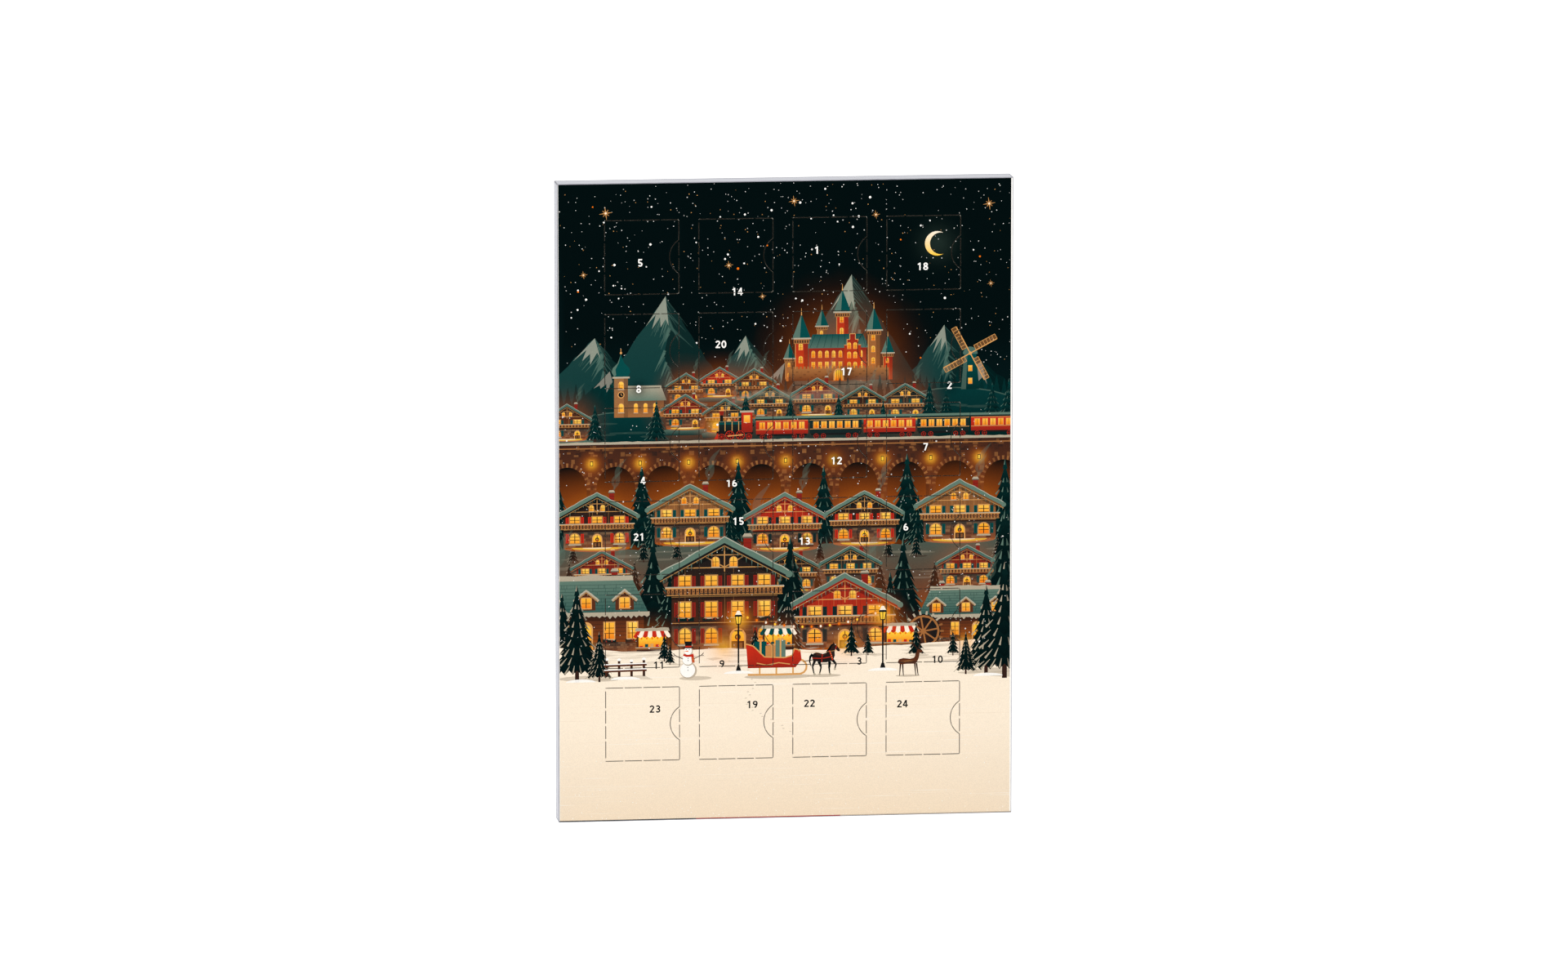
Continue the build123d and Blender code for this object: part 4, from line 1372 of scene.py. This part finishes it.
class Die:
    """Outlines of one door, its tab and its opening, about the opening's middle."""

    def __init__(self, sizes, side):
        for name in DieLine.__annotations__:
            setattr(self, name, getattr(sizes, name) / MM)
        self.half = side / 2
        self.radius = (self.tab_chord**2 / 4 + self.tab_sagitta**2) / (2 * self.tab_sagitta)
        self.centre = self.half - self.tab_sagitta + self.radius

    def arc(self, radius, edge):
        """Left side of the tab's circle, from its lower to its upper crossing with an upright edge."""
        reach = math.degrees(math.acos((self.centre - edge) / radius))
        return ellipse(self.centre, 0, radius, 1.0, 20, 180 + reach, 180 - reach)

    def free_corners(self, inner, radius):
        """The rounded lower and upper corners at the right, walked against the clock."""
        upper = ellipse(inner - radius, inner - radius, radius, 1.0, 4, 0, 90)
        return [(u, -v) for u, v in upper[::-1]], upper

    def opening(self):
        """Hole in the front panel."""
        half = self.half
        lower, upper = self.free_corners(half, self.corner)
        return [(-half, -half), *lower, *upper, (-half, half)]

    def door(self):
        """Door with its ties, walked against the clock from its lower left corner."""
        inner = self.half - self.kerf
        edge_ties = [(self.half * 2 * share - self.kerf, self.edge_tie) for share in (0.25, 0.5, 0.75)]
        low = along((-inner, -inner), (inner - self.corner, -inner), edge_ties, self.kerf, (0, -1))
        top_ties = [(2 * inner - middle - self.corner, width) for middle, width in edge_ties]
        top = along((inner - self.corner, inner), (-inner, inner), top_ties, self.kerf, (0, 1))
        end, pitch = self.end_tie, self.crease_pitch
        crease_ties = [(inner + offset, self.crease_tie) for offset in (-pitch, 0, pitch)]
        crease_ties += [(end / 2, end), (2 * inner - end / 2, end)]
        crease = along((-inner, inner), (-inner, -inner), crease_ties, self.kerf - self.hair, (-1, 0))
        lower, upper = self.free_corners(inner, self.corner - self.kerf)
        return clean(low + lower + self.arc(self.radius, inner) + upper + top + crease)

    def tab(self):
        """Finger tab with its ties, walked against the clock along the crease and back round the arc."""
        edge, inner, radius = self.half - self.hair, self.half - self.kerf, self.radius - self.kerf
        curve = self.arc(radius, edge)[::-1]
        end = curve[0][1]
        slit = (self.tab_chord - self.crease_tie - 2 * self.end_tie) / 2
        first, last = self.crease_tie / 2, self.crease_tie / 2 + slit
        crease = [(edge, -end)]
        for low, high in ((-last, -first), (first, last)):
            crease += [(edge, low), (inner, low), (inner, high), (edge, high)]
        crease += [(edge, end)]
        outer, sides = [], [1, -1]
        for u, v in curve:
            if sides and v < sides[0] * self.tab_tie_offset:
                outer += self.tab_tie_corners(sides.pop(0))
            if abs(abs(v) - self.tab_tie_offset) > self.tab_tie / 2:
                outer.append((u, v))
        return clean(crease + outer)

    def tab_tie_corners(self, side):
        """Corners of a tab's upper or lower tie, from the top down."""
        out = []
        for v, reach in ((1, self.kerf), (1, self.tab_tie_gap), (-1, self.tab_tie_gap), (-1, self.kerf)):
            level = side * self.tab_tie_offset + v * self.tab_tie / 2
            out.append((self.centre - math.sqrt((self.radius - reach) ** 2 - level**2), level))
        return out

    def cuts(self):
        """Middle lines of the cuts, each from tie to tie."""
        inner, runs = self.half - self.kerf, [[]]
        for point in self.door():
            if max(abs(point[0]), abs(point[1])) < inner + self.kerf / 2:
                runs[-1].append(point)
            elif runs[-1]:
                runs.append([])
        slits = [point for point in self.tab() if abs(point[0] - inner) < 1e-6]
        runs += [slits[:2], slits[2:]]
        return [beside(run, self.kerf / 2) for run in runs if len(run) > 1]


def beside(path, reach):
    """A path moved sideways, to the right of its direction."""
    out = []
    for i, (u, v) in enumerate(path):
        (u0, v0), (u1, v1) = path[max(i - 1, 0)], path[min(i + 1, len(path) - 1)]
        share = reach / math.dist((u0, v0), (u1, v1))
        out.append((u + (v1 - v0) * share, v + (u0 - u1) * share))
    return out


def clean(loop):
    """A loop without points that repeat the one before."""
    out = []
    for point in loop:
        if not out or math.dist(out[-1], point) > REPEATED:
            out.append(point)
    if math.dist(out[0], out[-1]) <= REPEATED:
        out.pop()
    return out


# From picture to board


def cut_up(points, edges):
    """Triangles whose sides follow every edge, as points and index triples."""
    made = delaunay_2d_cdt([Vector(point) for point in points], edges, [], 0, SAME_PLACE, False)
    return np.array([tuple(point) for point in made[0]]), np.array([tuple(face) for face in made[2]])


def edges_of(loops):
    """The loops' points in one list, and the edges between them."""
    points, edges = [], []
    for loop in loops:
        first = len(points)
        points += loop
        edges += [(first + i, first + (i + 1) % len(loop)) for i in range(len(loop))]
    return points, edges


def shown_edges(points, triples, shown, pieces):
    """Only the points and edges where a piece ends or where what shows changes."""
    label = np.zeros(len(triples), dtype=np.uint64)
    for number, found in enumerate(pieces.values(), 1):
        label[found] = shown[found] * PIECE_FACTOR + np.uint64(number)
    sides = np.sort(triples[:, (0, 1, 1, 2, 2, 0)].reshape(-1, 2), axis=1)
    order = np.lexsort((sides[:, 1], sides[:, 0]))
    sides, owner = sides[order], np.repeat(label, 3)[order]
    pair = np.flatnonzero((sides[1:] == sides[:-1]).all(axis=1))
    kept = sides[pair[owner[pair] != owner[pair + 1]]]
    while True:
        kept, merged = straighten(points, kept)
        if not merged:
            break
    used, places = np.unique(kept, return_inverse=True)
    return points[used], places.reshape(-1, 2).tolist()


def straighten(points, edges):
    """Joins pairs of edges that run straight on, where nothing else meets. Also says how many it joined."""
    ends = edges.ravel()
    order = np.argsort(ends, kind="stable")
    count = np.bincount(ends, minlength=len(points))
    first = np.concatenate(([0], np.cumsum(count)[:-1]))
    middle = np.flatnonzero(count == 2)
    one, two = order[first[middle]] // 2, order[first[middle] + 1] // 2
    far_one = edges[one].sum(axis=1) - middle
    far_two = edges[two].sum(axis=1) - middle
    before, after = points[middle] - points[far_one], points[far_two] - points[middle]
    bend = np.abs(before[:, 0] * after[:, 1] - before[:, 1] * after[:, 0])
    long = np.hypot(*before.T) * np.hypot(*after.T)
    straight = (bend < STRAIGHT * long) & ((before * after).sum(axis=1) > 0)
    gone, added, busy = np.zeros(len(edges), dtype=bool), [], set()
    for i in np.flatnonzero(straight):
        if one[i] in busy or two[i] in busy:
            continue
        busy.update((one[i], two[i]))
        gone[[one[i], two[i]]] = True
        added.append((far_one[i], far_two[i]))
    if not added:
        return edges, 0
    return np.concatenate((edges[~gone], np.array(added))), len(added)


def inside(loops, spots):
    """Which spots lie inside the loops, by the even-odd rule."""
    hit = np.zeros(len(spots), dtype=bool)
    across, up = spots[:, 0], spots[:, 1]
    for loop in loops:
        for (u0, v0), (u1, v1) in zip(loop, [*loop[1:], loop[0]]):
            if v0 != v1:
                meets = u0 + (u1 - u0) * (up - v0) / (v1 - v0)
                hit ^= ((v0 > up) != (v1 > up)) & (across < meets)
    return hit


class Finder:
    """Finds the triangles whose middles lie inside a shape."""

    def __init__(self, middles):
        self.order = np.argsort(middles[:, 0])
        self.sorted = middles[self.order]

    def find(self, loops):
        """Numbers of the triangles inside the loops."""
        corners = np.array([point for loop in loops for point in loop])
        low, high = corners.min(axis=0), corners.max(axis=0)
        first, last = np.searchsorted(self.sorted[:, 0], (low[0], high[0]))
        spots = self.sorted[first:last]
        near = np.nonzero((spots[:, 1] > low[1]) & (spots[:, 1] < high[1]))[0]
        found = near[inside(loops, spots[near])]
        return self.order[first + found]


def door_places():
    """Each door's number with the middle of its opening, in picture units."""
    places = {}
    for node in DOOR_NODES:
        low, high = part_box(node)
        side = (high[2] - low[2]) / MM
        left, bottom = (low[0] - FRONT_LOW.x) / MM, (low[2] - FRONT_LOW.z) / MM
        places[node[-2:]] = (left + side / 2, bottom + side / 2, side)
    return places


@functools.lru_cache(maxsize=1)
def printed_sheet():
    """The whole front in triangles: points, triples, corner colours and each piece's triangles."""
    sizes = bpy.context.scene.calendar_die
    art = draw_picture(bpy.context.scene.calendar_inks, sizes)
    fold = sizes.fold / MM
    flat = rect(fold, fold, WIDE - 2 * fold, HIGH - 2 * fold)
    outlines = {}
    openings = []
    for number, (u, v, side) in door_places().items():
        die = Die(sizes, side)
        outlines["door_" + number] = moved(die.door(), u, v)
        outlines["finger_tab_" + number] = moved(die.tab(), u, v)
        openings.append(moved(die.opening(), u, v))
    loops = [loop for shape in art.shapes for loop in shape[0]]
    points, edges = edges_of([flat, *openings, *outlines.values(), *loops])
    for last in (False, True):
        points, triples = cut_up(points, edges)
        finder = Finder(points[triples].mean(axis=1))
        colours, shown = lay_inks(points, triples, art.shapes, finder)
        pieces = {name: finder.find([loop]) for name, loop in outlines.items()}
        pieces["front_panel"] = finder.find([flat, *openings])
        if not last:
            points, edges = shown_edges(points, triples, shown, pieces)
    return points, triples, colours, pieces


def lay_inks(points, triples, shapes, finder):
    """Corner colours of the triangles, and a number for each that stands for what shows there."""
    colours = np.ones((len(triples), 3, 4))
    shown = np.zeros(len(triples), dtype=np.uint64)
    for number, (shape, ink, cover, fade, halo) in enumerate(shapes, 1):
        found = finder.find(shape)
        tint, corners = np.array(ink)[None, None, :], points[triples[found]]
        if cover == 1 and not halo:
            shown[found] = number
        else:
            shown[found] = shown[found] * SHAPE_FACTOR + np.uint64(number)
        if fade:
            above, low, high = fade
            share = (corners[:, :, 1:2] - low) / (high - low)
            tint = tint + (np.array(above)[None, None, :] - tint) * share.clip(0, 1)
        if halo:
            u, v, reach = halo
            far = np.hypot(corners[:, :, 0] - u, corners[:, :, 1] - v) / reach
            cover = cover * (1 - far.clip(0, 1))[:, :, None] ** HALO_FALL
        colours[found, :, :3] += (tint - colours[found, :, :3]) * cover
    return colours, shown


def walk_rim(triples):
    """The rim of a patch of triangles, as closed loops of point numbers."""
    sides = set()
    for a, b, c in triples.tolist():
        sides.update(((a, b), (b, c), (c, a)))
    onward = {}
    for a, b in sides:
        if (b, a) not in sides:
            onward.setdefault(a, []).append(b)
    loops = []
    while onward:
        start = next(iter(onward))
        loop, place = [start], start
        while True:
            ways = onward[place]
            step = ways.pop()
            if not ways:
                del onward[place]
            if step == start:
                break
            loop.append(step)
            place = step
        loops.append(loop)
    return loops


def board_piece(name, rim_profile):
    """Board of one printed piece: printed face, cut edges and plain reverse.

    rim_profile gives, for a point of the rim, its stations from the printed face to the reverse, as
    (sideways shift in u, shift in v, depth).
    """
    points, triples, colours, pieces = printed_sheet()
    patch = triples[pieces[name]]
    used, places = np.unique(patch, return_inverse=True)
    index = {corner: i for i, corner in enumerate(used.tolist())}
    verts = [(u, v, 0.0) for u, v in points[used]]
    faces = places.reshape(-1, 3).tolist()
    slots = [0] * len(faces)
    back_loops = []
    for loop in walk_rim(patch):
        columns = []
        for corner in loop:
            u, v = points[corner]
            column = [index[corner]]
            for du, dv, depth in rim_profile(u, v):
                column.append(len(verts))
                verts.append((u + du, v + dv, depth))
            columns.append(column)
        for here, there in zip(columns, [*columns[1:], columns[0]]):
            for near, far in zip(zip(here, there), zip(here[1:], there[1:])):
                faces.append([near[0], far[0], far[1], near[1]])
                slots.append(3 if len(here) > 2 else 1)
        back_loops.append([column[-1] for column in columns])
    flat_loops = [[Vector((verts[i][0], verts[i][1], 0)) for i in loop] for loop in back_loops]
    back = [i for loop in back_loops for i in loop]
    for triangle in tessellate_polygon(flat_loops):
        corners = [back[i] for i in triangle]
        (u0, v0), (u1, v1), (u2, v2) = (verts[i][:2] for i in corners)
        if (u1 - u0) * (v2 - v0) - (u2 - u0) * (v1 - v0) > 0:
            corners.reverse()
        faces.append(corners)
        slots.append(2)
    places = [(FRONT_LOW.x + u * MM, FRONT_Y + depth * MM, FRONT_LOW.z + v * MM) for u, v, depth in verts]
    mesh = bpy.data.meshes.new(name)
    mesh.from_pydata(places, [], faces)
    mesh.polygons.foreach_set("material_index", slots)
    layer = mesh.color_attributes.new("ink", "FLOAT_COLOR", "CORNER")
    values = np.ones((len(mesh.loops), 4), dtype=np.float32)
    face_colours = colours[pieces[name]].reshape(-1, 4)
    values[: len(face_colours)] = face_colours
    layer.data.foreach_set("color", values.ravel())
    lay_out(mesh)
    for material in (printed_ink(), board_core(), board_reverse(), coated_board()):
        mesh.materials.append(material)
    return add_object("printed_" + name, mesh)


def add_object(name, data):
    """A new object in the scene."""
    made = bpy.data.objects.new(name, data)
    bpy.context.collection.objects.link(made)
    return made


def read(owner, name, width=1, kind=np.int32):
    """What each part of a mesh has under a name."""
    values = np.empty(len(owner) * width, dtype=kind)
    owner.foreach_get(name, values)
    return values


def lay_out(mesh):
    """Flat layout of a printed piece: its face in the left part of the square, the rest at the right."""
    flat = read(mesh.vertices, "co", 3, float).reshape(-1, 3)[:, (0, 2)]
    flat = (flat - flat.min(axis=0)) / np.ptp(flat, axis=0)
    flat = flat[read(mesh.loops, "vertex_index")]
    slots = np.repeat(read(mesh.polygons, "material_index"), read(mesh.polygons, "loop_total"))
    face = (slots == 0)[:, None]
    spread = np.where(face, flat * FACE_SHARE, flat * (REST_SHARE, FACE_SHARE[1]) + (1 - REST_SHARE, 0))
    mesh.uv_layers.new(name="OFBake").data.foreach_set("uv", spread.ravel())


def straight_cut(u, v):
    """A die-cut edge, square to the board."""
    return [(0.0, 0.0, BOARD / MM)]


def folded_rim(fold):
    """Rim of the front panel: rounded where the board folds to the sides, square at the openings."""

    def profile(u, v):
        side_u = -1 if u < fold + 0.01 else 1 if u > WIDE - fold - 0.01 else 0
        side_v = -1 if v < fold + 0.01 else 1 if v > HIGH - fold - 0.01 else 0
        if not side_u and not side_v:
            return straight_cut(u, v)
        stations = []
        for step in (22.5, 45, 67.5, 90):
            turn = math.radians(step)
            shift, depth = fold * math.sin(turn), fold * (1 - math.cos(turn))
            stations.append((side_u * shift, side_v * shift, depth))
        return [*stations, (side_u * fold, side_v * fold, BOARD / MM)]

    return profile


# Materials


class Nodes:
    """Short way to wire the nodes of a material or of the world."""

    def __init__(self, owner):
        owner.use_nodes = True
        self.tree = owner.node_tree

    def join(self, socket, value):
        """Gives a socket its value, or links an output to it."""
        if isinstance(value, bpy.types.NodeSocket):
            self.tree.links.new(value, socket)
        else:
            socket.default_value = (*value, 1) if socket.type == "RGBA" else value

    def add(self, kind, *inputs, out=0, **settings):
        """A new node's output. Inputs go to its sockets in order, settings by name."""
        node = self.tree.nodes.new("ShaderNode" + kind)
        for name, value in settings.items():
            if name in node.inputs:
                self.join(node.inputs[name], value)
            else:
                setattr(node, name, value)
        for socket, value in zip(node.inputs, inputs):
            self.join(socket, value)
        return node.outputs[out]

    def place(self, out="Object"):
        """Where a point lies on the object, in metres, or with Normal the way that it faces."""
        return self.add("TexCoord", out=out)

    def noise(self, scale, detail=3.0, stretch=None):
        """Noise over the object, with scale in cells to the metre."""
        source = self.place()
        if stretch:
            source = self.add("Mapping", Vector=source, Scale=stretch)
        return self.add("TexNoise", Vector=source, Scale=scale, Detail=detail)

    def spread(self, value, low, high):
        """The middle of a noise carried to low to high."""
        return self.add("MapRange", value, *NOISE_MIDDLE, low, high)

    def blend(self, share, one, other):
        """Colour between two colours or outputs."""
        node = self.add("Mix", share, data_type="RGBA").node
        for socket, colour in zip(node.inputs[6:8], (one, other)):
            self.join(socket, colour)
        return node.outputs[2]

    def mottle(self, share, colour, darkest):
        """A colour that a noise darkens by up to a share."""
        return self.blend(share, mix(colour, BLACK, darkest), colour)

    def math(self, operation, one, other):
        """Sum on two values or outputs."""
        return self.add("Math", one, other, operation=operation)

    def near_fold(self, reach):
        """1 on the carton's edges, falling to 0 at that reach from them: where the painted fold shade lies.
        """
        gaps = []
        parts = self.add("SeparateXYZ", self.place()).node
        for output, low, high, share in zip(parts.outputs, *CAD_BOX, (1.0, REAR_FOLD_SHARE, 1.0)):
            upper = self.math("MULTIPLY", self.math("SUBTRACT", high, output), share)
            gaps.append(self.math("MINIMUM", self.math("SUBTRACT", output, low), upper))
        least, most = (self.math(kind, gaps[0], gaps[1]) for kind in ("MINIMUM", "MAXIMUM"))
        second = self.math("MAXIMUM", least, self.math("MINIMUM", most, gaps[2]))
        return self.add("MapRange", second, 0.0, reach, 1.0, 0.0, interpolation_type="SMOOTHSTEP")

    def faces_out(self):
        """1 on surfaces that look out of the carton, and 0 on those that look into it."""
        away = self.add("VectorMath", self.place(), MIDDLE, operation="SUBTRACT")
        facing = self.add("VectorMath", away, self.place("Normal"), operation="DOT_PRODUCT", out="Value")
        return self.math("GREATER_THAN", facing, 0.0)

    def seen_directly(self):
        """1 on rays from the camera, a reflection or a clear piece, and 0 where they only carry light."""
        path = self.add("LightPath").node.outputs
        total = path["Is Camera Ray"]
        for name in ("Is Glossy Ray", "Is Transmission Ray"):
            total = self.add("Math", total, path[name], operation="ADD", use_clamp=True)
        return total

    def finish(self, colour, roughness, specular, height=None, distance=0.0, strength=1.0, **more):
        """Joins colour, roughness, specular level and small relief to the shader."""
        shader = self.tree.nodes["Principled BSDF"].inputs
        if height:
            more["Normal"] = self.add("Bump", Distance=distance, Strength=strength, Height=height)
        more |= {"Base Color": colour, "Roughness": roughness, "Specular IOR Level": specular}
        for name, value in more.items():
            self.join(shader[name], value)


def kept(build):
    """Makes a material once, under its function's name, and hands it over."""

    @functools.wraps(build)
    def found():
        material = bpy.data.materials.get(build.__name__)
        if not material:
            material = bpy.data.materials.new(build.__name__)
            build(Nodes(material), bpy.context.scene.calendar_board)
        return material

    return found


@kept
def printed_ink(nodes, colours):
    """Offset print under a thin satin varnish, on the white face of the board."""
    ink = nodes.add("VertexColor", layer_name="ink")
    grain = nodes.spread(nodes.noise(2600.0, 4.0), 0.94, 1.06)
    fibre = nodes.noise(900.0, 3.0, (1.0, 1.0, 3.0))
    colour = nodes.add("VectorMath", ink, operation="SCALE", Scale=grain)
    nodes.finish(colour, nodes.spread(fibre, 0.42, 0.54), 0.012, fibre, 0.00002, 0.35)


@kept
def board_core(nodes, colours):
    """Cut edge of the board: pressed grey pulp."""
    pulp = nodes.noise(3000.0, 4.0, (1.0, 4.0, 1.0))
    nodes.finish(nodes.mottle(pulp, colours.core, 0.12), 0.85, 0.2, pulp, 0.00003, 0.5)


@kept
def board_reverse(nodes, colours):
    """Uncoated inside of the board, with flecks of fibre."""
    fibre = nodes.noise(700.0, 6.0, (1.0, 1.0, 2.5))
    colour = nodes.mottle(fibre, colours.reverse, 0.16)
    nodes.finish(colour, nodes.spread(fibre, 0.75, 0.92), 0.25, fibre, 0.00004, 0.5)


@kept
def coated_board(nodes, colours):
    """White coated outside of the carton with painted shade along its folds, and its grey uncoated inside."""
    cloud, fibre = nodes.noise(60.0), nodes.noise(1200.0, 5.0)
    # painted shade along the carton's folds, made uneven by a noise
    fold_shade = nodes.math("MULTIPLY", nodes.near_fold(0.0009), nodes.spread(nodes.noise(150.0, 5.0), 0.7, 1.0))
    outside = nodes.blend(fold_shade, nodes.mottle(cloud, colours.board, 0.05), colours.fold)
    colour = nodes.blend(nodes.faces_out(), nodes.mottle(fibre, colours.reverse, 0.16), outside)
    nodes.finish(colour, nodes.spread(fibre, 0.45, 0.6), 0.25, fibre, 0.00002, 0.4)


@kept
def tray_plastic(nodes, colours):
    """Thin formed sheet with a satin gloss and faint drawing marks."""
    cloud = nodes.noise(90.0, 4.0)
    colour = nodes.mottle(cloud, colours.tray, 0.08)
    nodes.finish(colour, nodes.spread(cloud, 0.22, 0.34), 0.5, nodes.noise(260.0), 0.0001, 0.3)


@kept
def milk_chocolate(nodes, colours):
    """Moulded milk chocolate: glossy where it met the mould, with a trace of bloom."""
    bloom = nodes.noise(220.0, 6.0)
    pale = mix(colours.chocolate, (1, 0.82, 0.62), 0.03)
    colour = nodes.blend(bloom, mix(colours.chocolate, BLACK, 0.3), pale)
    nodes.finish(colour, nodes.spread(bloom, 0.34, 0.48), 0.14, nodes.noise(700.0, 4.0), 0.00004, 0.35)


@kept
def studio_floor(nodes, colours):
    """Pale floor that shows white to the camera and keeps the shadow."""
    colour = nodes.blend(nodes.noise(3.0, 2.0), (0.93, 0.93, 0.935), (0.96, 0.96, 0.96))
    glow = nodes.math("MULTIPLY", nodes.seen_directly(), FLOOR_WHITENING)
    nodes.finish(colour, 0.9, 0.0, **{"Emission Color": WHITE, "Emission Strength": glow})


def dress(node, material):
    """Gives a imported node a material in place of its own."""
    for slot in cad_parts[node].material_slots:
        slot.material = material


# Operators


class CALENDAR_OT_front(bpy.types.Operator):
    """Prints the picture and builds the front panel round its 24 openings"""

    bl_idname = "calendar.front"
    bl_label = "Printed front panel"

    def execute(self, context):
        piece = board_piece("front_panel", folded_rim(context.scene.calendar_die.fold / MM))
        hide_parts("front_panel")
        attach(piece, "carton")
        return {"FINISHED"}


class CALENDAR_OT_doors(bpy.types.Operator):
    """Builds the 24 printed doors"""

    bl_idname = "calendar.doors"
    bl_label = "Doors"

    def execute(self, context):
        for node in DOOR_NODES:
            piece = board_piece(node, straight_cut)
            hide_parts(node)
            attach(piece, node)
        return {"FINISHED"}


class CALENDAR_OT_finger_tabs(bpy.types.Operator):
    """Builds the 24 half-moon finger tabs"""

    bl_idname = "calendar.finger_tabs"
    bl_label = "Finger tabs"

    def execute(self, context):
        for node in DOOR_NODES:
            tab = "finger_tab_" + node[-2:]
            piece = board_piece(tab, straight_cut)
            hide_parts(tab)
            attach(piece, tab)
        return {"FINISHED"}


class CALENDAR_OT_carton(bpy.types.Operator):
    """Finishes the plain walls and flaps of the carton"""

    bl_idname = "calendar.carton"
    bl_label = "Carton walls"

    def execute(self, context):
        for node in COATED_NODES:
            dress(node, coated_board())
        for node in REVERSE_NODES:
            dress(node, board_reverse())
        return {"FINISHED"}


class CALENDAR_OT_sweets(bpy.types.Operator):
    """Finishes the tray and the chocolates"""

    bl_idname = "calendar.sweets"
    bl_label = "Tray and chocolates"

    def execute(self, context):
        dress("chocolate_tray", tray_plastic())
        dress("chocolates", milk_chocolate())
        return {"FINISHED"}


class CALENDAR_OT_stage(bpy.types.Operator):
    """Sets up the floor, the lamps, the world and the camera"""

    bl_idname = "calendar.stage"
    bl_label = "Stage"

    def execute(self, context):
        add_floor()
        add_lamps()
        add_world(context.scene)
        add_camera(context.scene)
        return {"FINISHED"}


def add_floor():
    """Large pale floor, just clear of the calendar's foot."""
    mesh = bpy.data.meshes.new("studio_floor")
    square = rect(-FLOOR_REACH, -FLOOR_REACH, 2 * FLOOR_REACH, 2 * FLOOR_REACH)
    mesh.from_pydata([(u, v, -FLOOR_DROP) for u, v in square], [], [(0, 1, 2, 3)])
    mesh.materials.append(studio_floor())
    floor = add_object("studio_floor", mesh)


def add_lamps():
    """Soft square lamps, turned to the calendar's middle."""
    for name, place, size, power in LAMPS:
        data = bpy.data.lights.new(name, "AREA")
        data.shape, data.size, data.energy = "SQUARE", size, power
        lamp = add_object(name, data)
        lamp.location = place
        lamp.rotation_euler = (LAMP_AIM - Vector(place)).to_track_quat("-Z", "Y").to_euler()


def add_world(scene):
    """White surroundings: pure white to the camera, softer as light."""
    scene.world = bpy.data.worlds.new("studio")
    nodes = Nodes(scene.world)
    backdrop = nodes.tree.nodes["Background"].inputs
    nodes.join(backdrop["Color"], WHITE)
    nodes.join(backdrop["Strength"], nodes.add("MapRange", nodes.seen_directly(), 0.0, 1.0, WORLD_LIGHT, 1.0))


def add_camera(scene):
    """Long lens, a little to the left and above, so that the left wall and the top end just show."""
    azimuth, elevation = math.radians(VIEW_AZIMUTH), math.radians(VIEW_ELEVATION)
    data = bpy.data.cameras.new("camera")
    data.lens, data.sensor_width = LENS, SENSOR
    distance = FRAME_WIDTH * LENS / SENSOR
    level = math.cos(elevation)
    back = Vector((math.sin(azimuth) * level, -math.cos(azimuth) * level, math.sin(elevation)))
    aim = MIDDLE + Vector((0, 0, AIM_ABOVE_MIDDLE))
    camera = add_object("camera", data)
    camera.location = aim + back * distance
    camera.rotation_euler = back.to_track_quat("Z", "Y").to_euler()
    data.clip_end = 100
    scene.camera = camera


class CALENDAR_PT_panel(bpy.types.Panel):
    """Lists the calendar's steps and what can be changed"""

    bl_idname = "CALENDAR_PT_panel"
    bl_label = "Advent Calendar"
    bl_space_type = "VIEW_3D"
    bl_region_type = "UI"
    bl_category = "Calendar"

    def draw(self, context):
        for operator in STEPS:
            self.layout.operator(operator.bl_idname)
        for group in GROUPS:
            owner = getattr(context.scene, group)
            for name in owner.__annotations__:
                self.layout.prop(owner, name)


STEPS = (
    CALENDAR_OT_front,
    CALENDAR_OT_doors,
    CALENDAR_OT_finger_tabs,
    CALENDAR_OT_carton,
    CALENDAR_OT_sweets,
    CALENDAR_OT_stage,
)
GROUPS = {"calendar_die": DieLine, "calendar_inks": PrintInks, "calendar_board": BoardAndSweets}
CLASSES = (*GROUPS.values(), *STEPS, CALENDAR_PT_panel)


def register():
    """Registers the add-on's classes and its groups of properties."""
    for kind in CLASSES:
        bpy.utils.register_class(kind)
    for name, kind in GROUPS.items():
        setattr(bpy.types.Scene, name, bpy.props.PointerProperty(type=kind))


def unregister():
    """Takes back what register did."""
    for name in GROUPS:
        delattr(bpy.types.Scene, name)
    for kind in reversed(CLASSES):
        bpy.utils.unregister_class(kind)


def main():
    """Registers the add-on and builds the calendar and its stage."""
    register()
    scene = bpy.context.scene
    scene.view_settings.view_transform = "Standard"
    for step in STEPS:
        group, name = step.bl_idname.split(".")
        getattr(getattr(bpy.ops, group), name)()


if __name__ == "__main__":
    main()
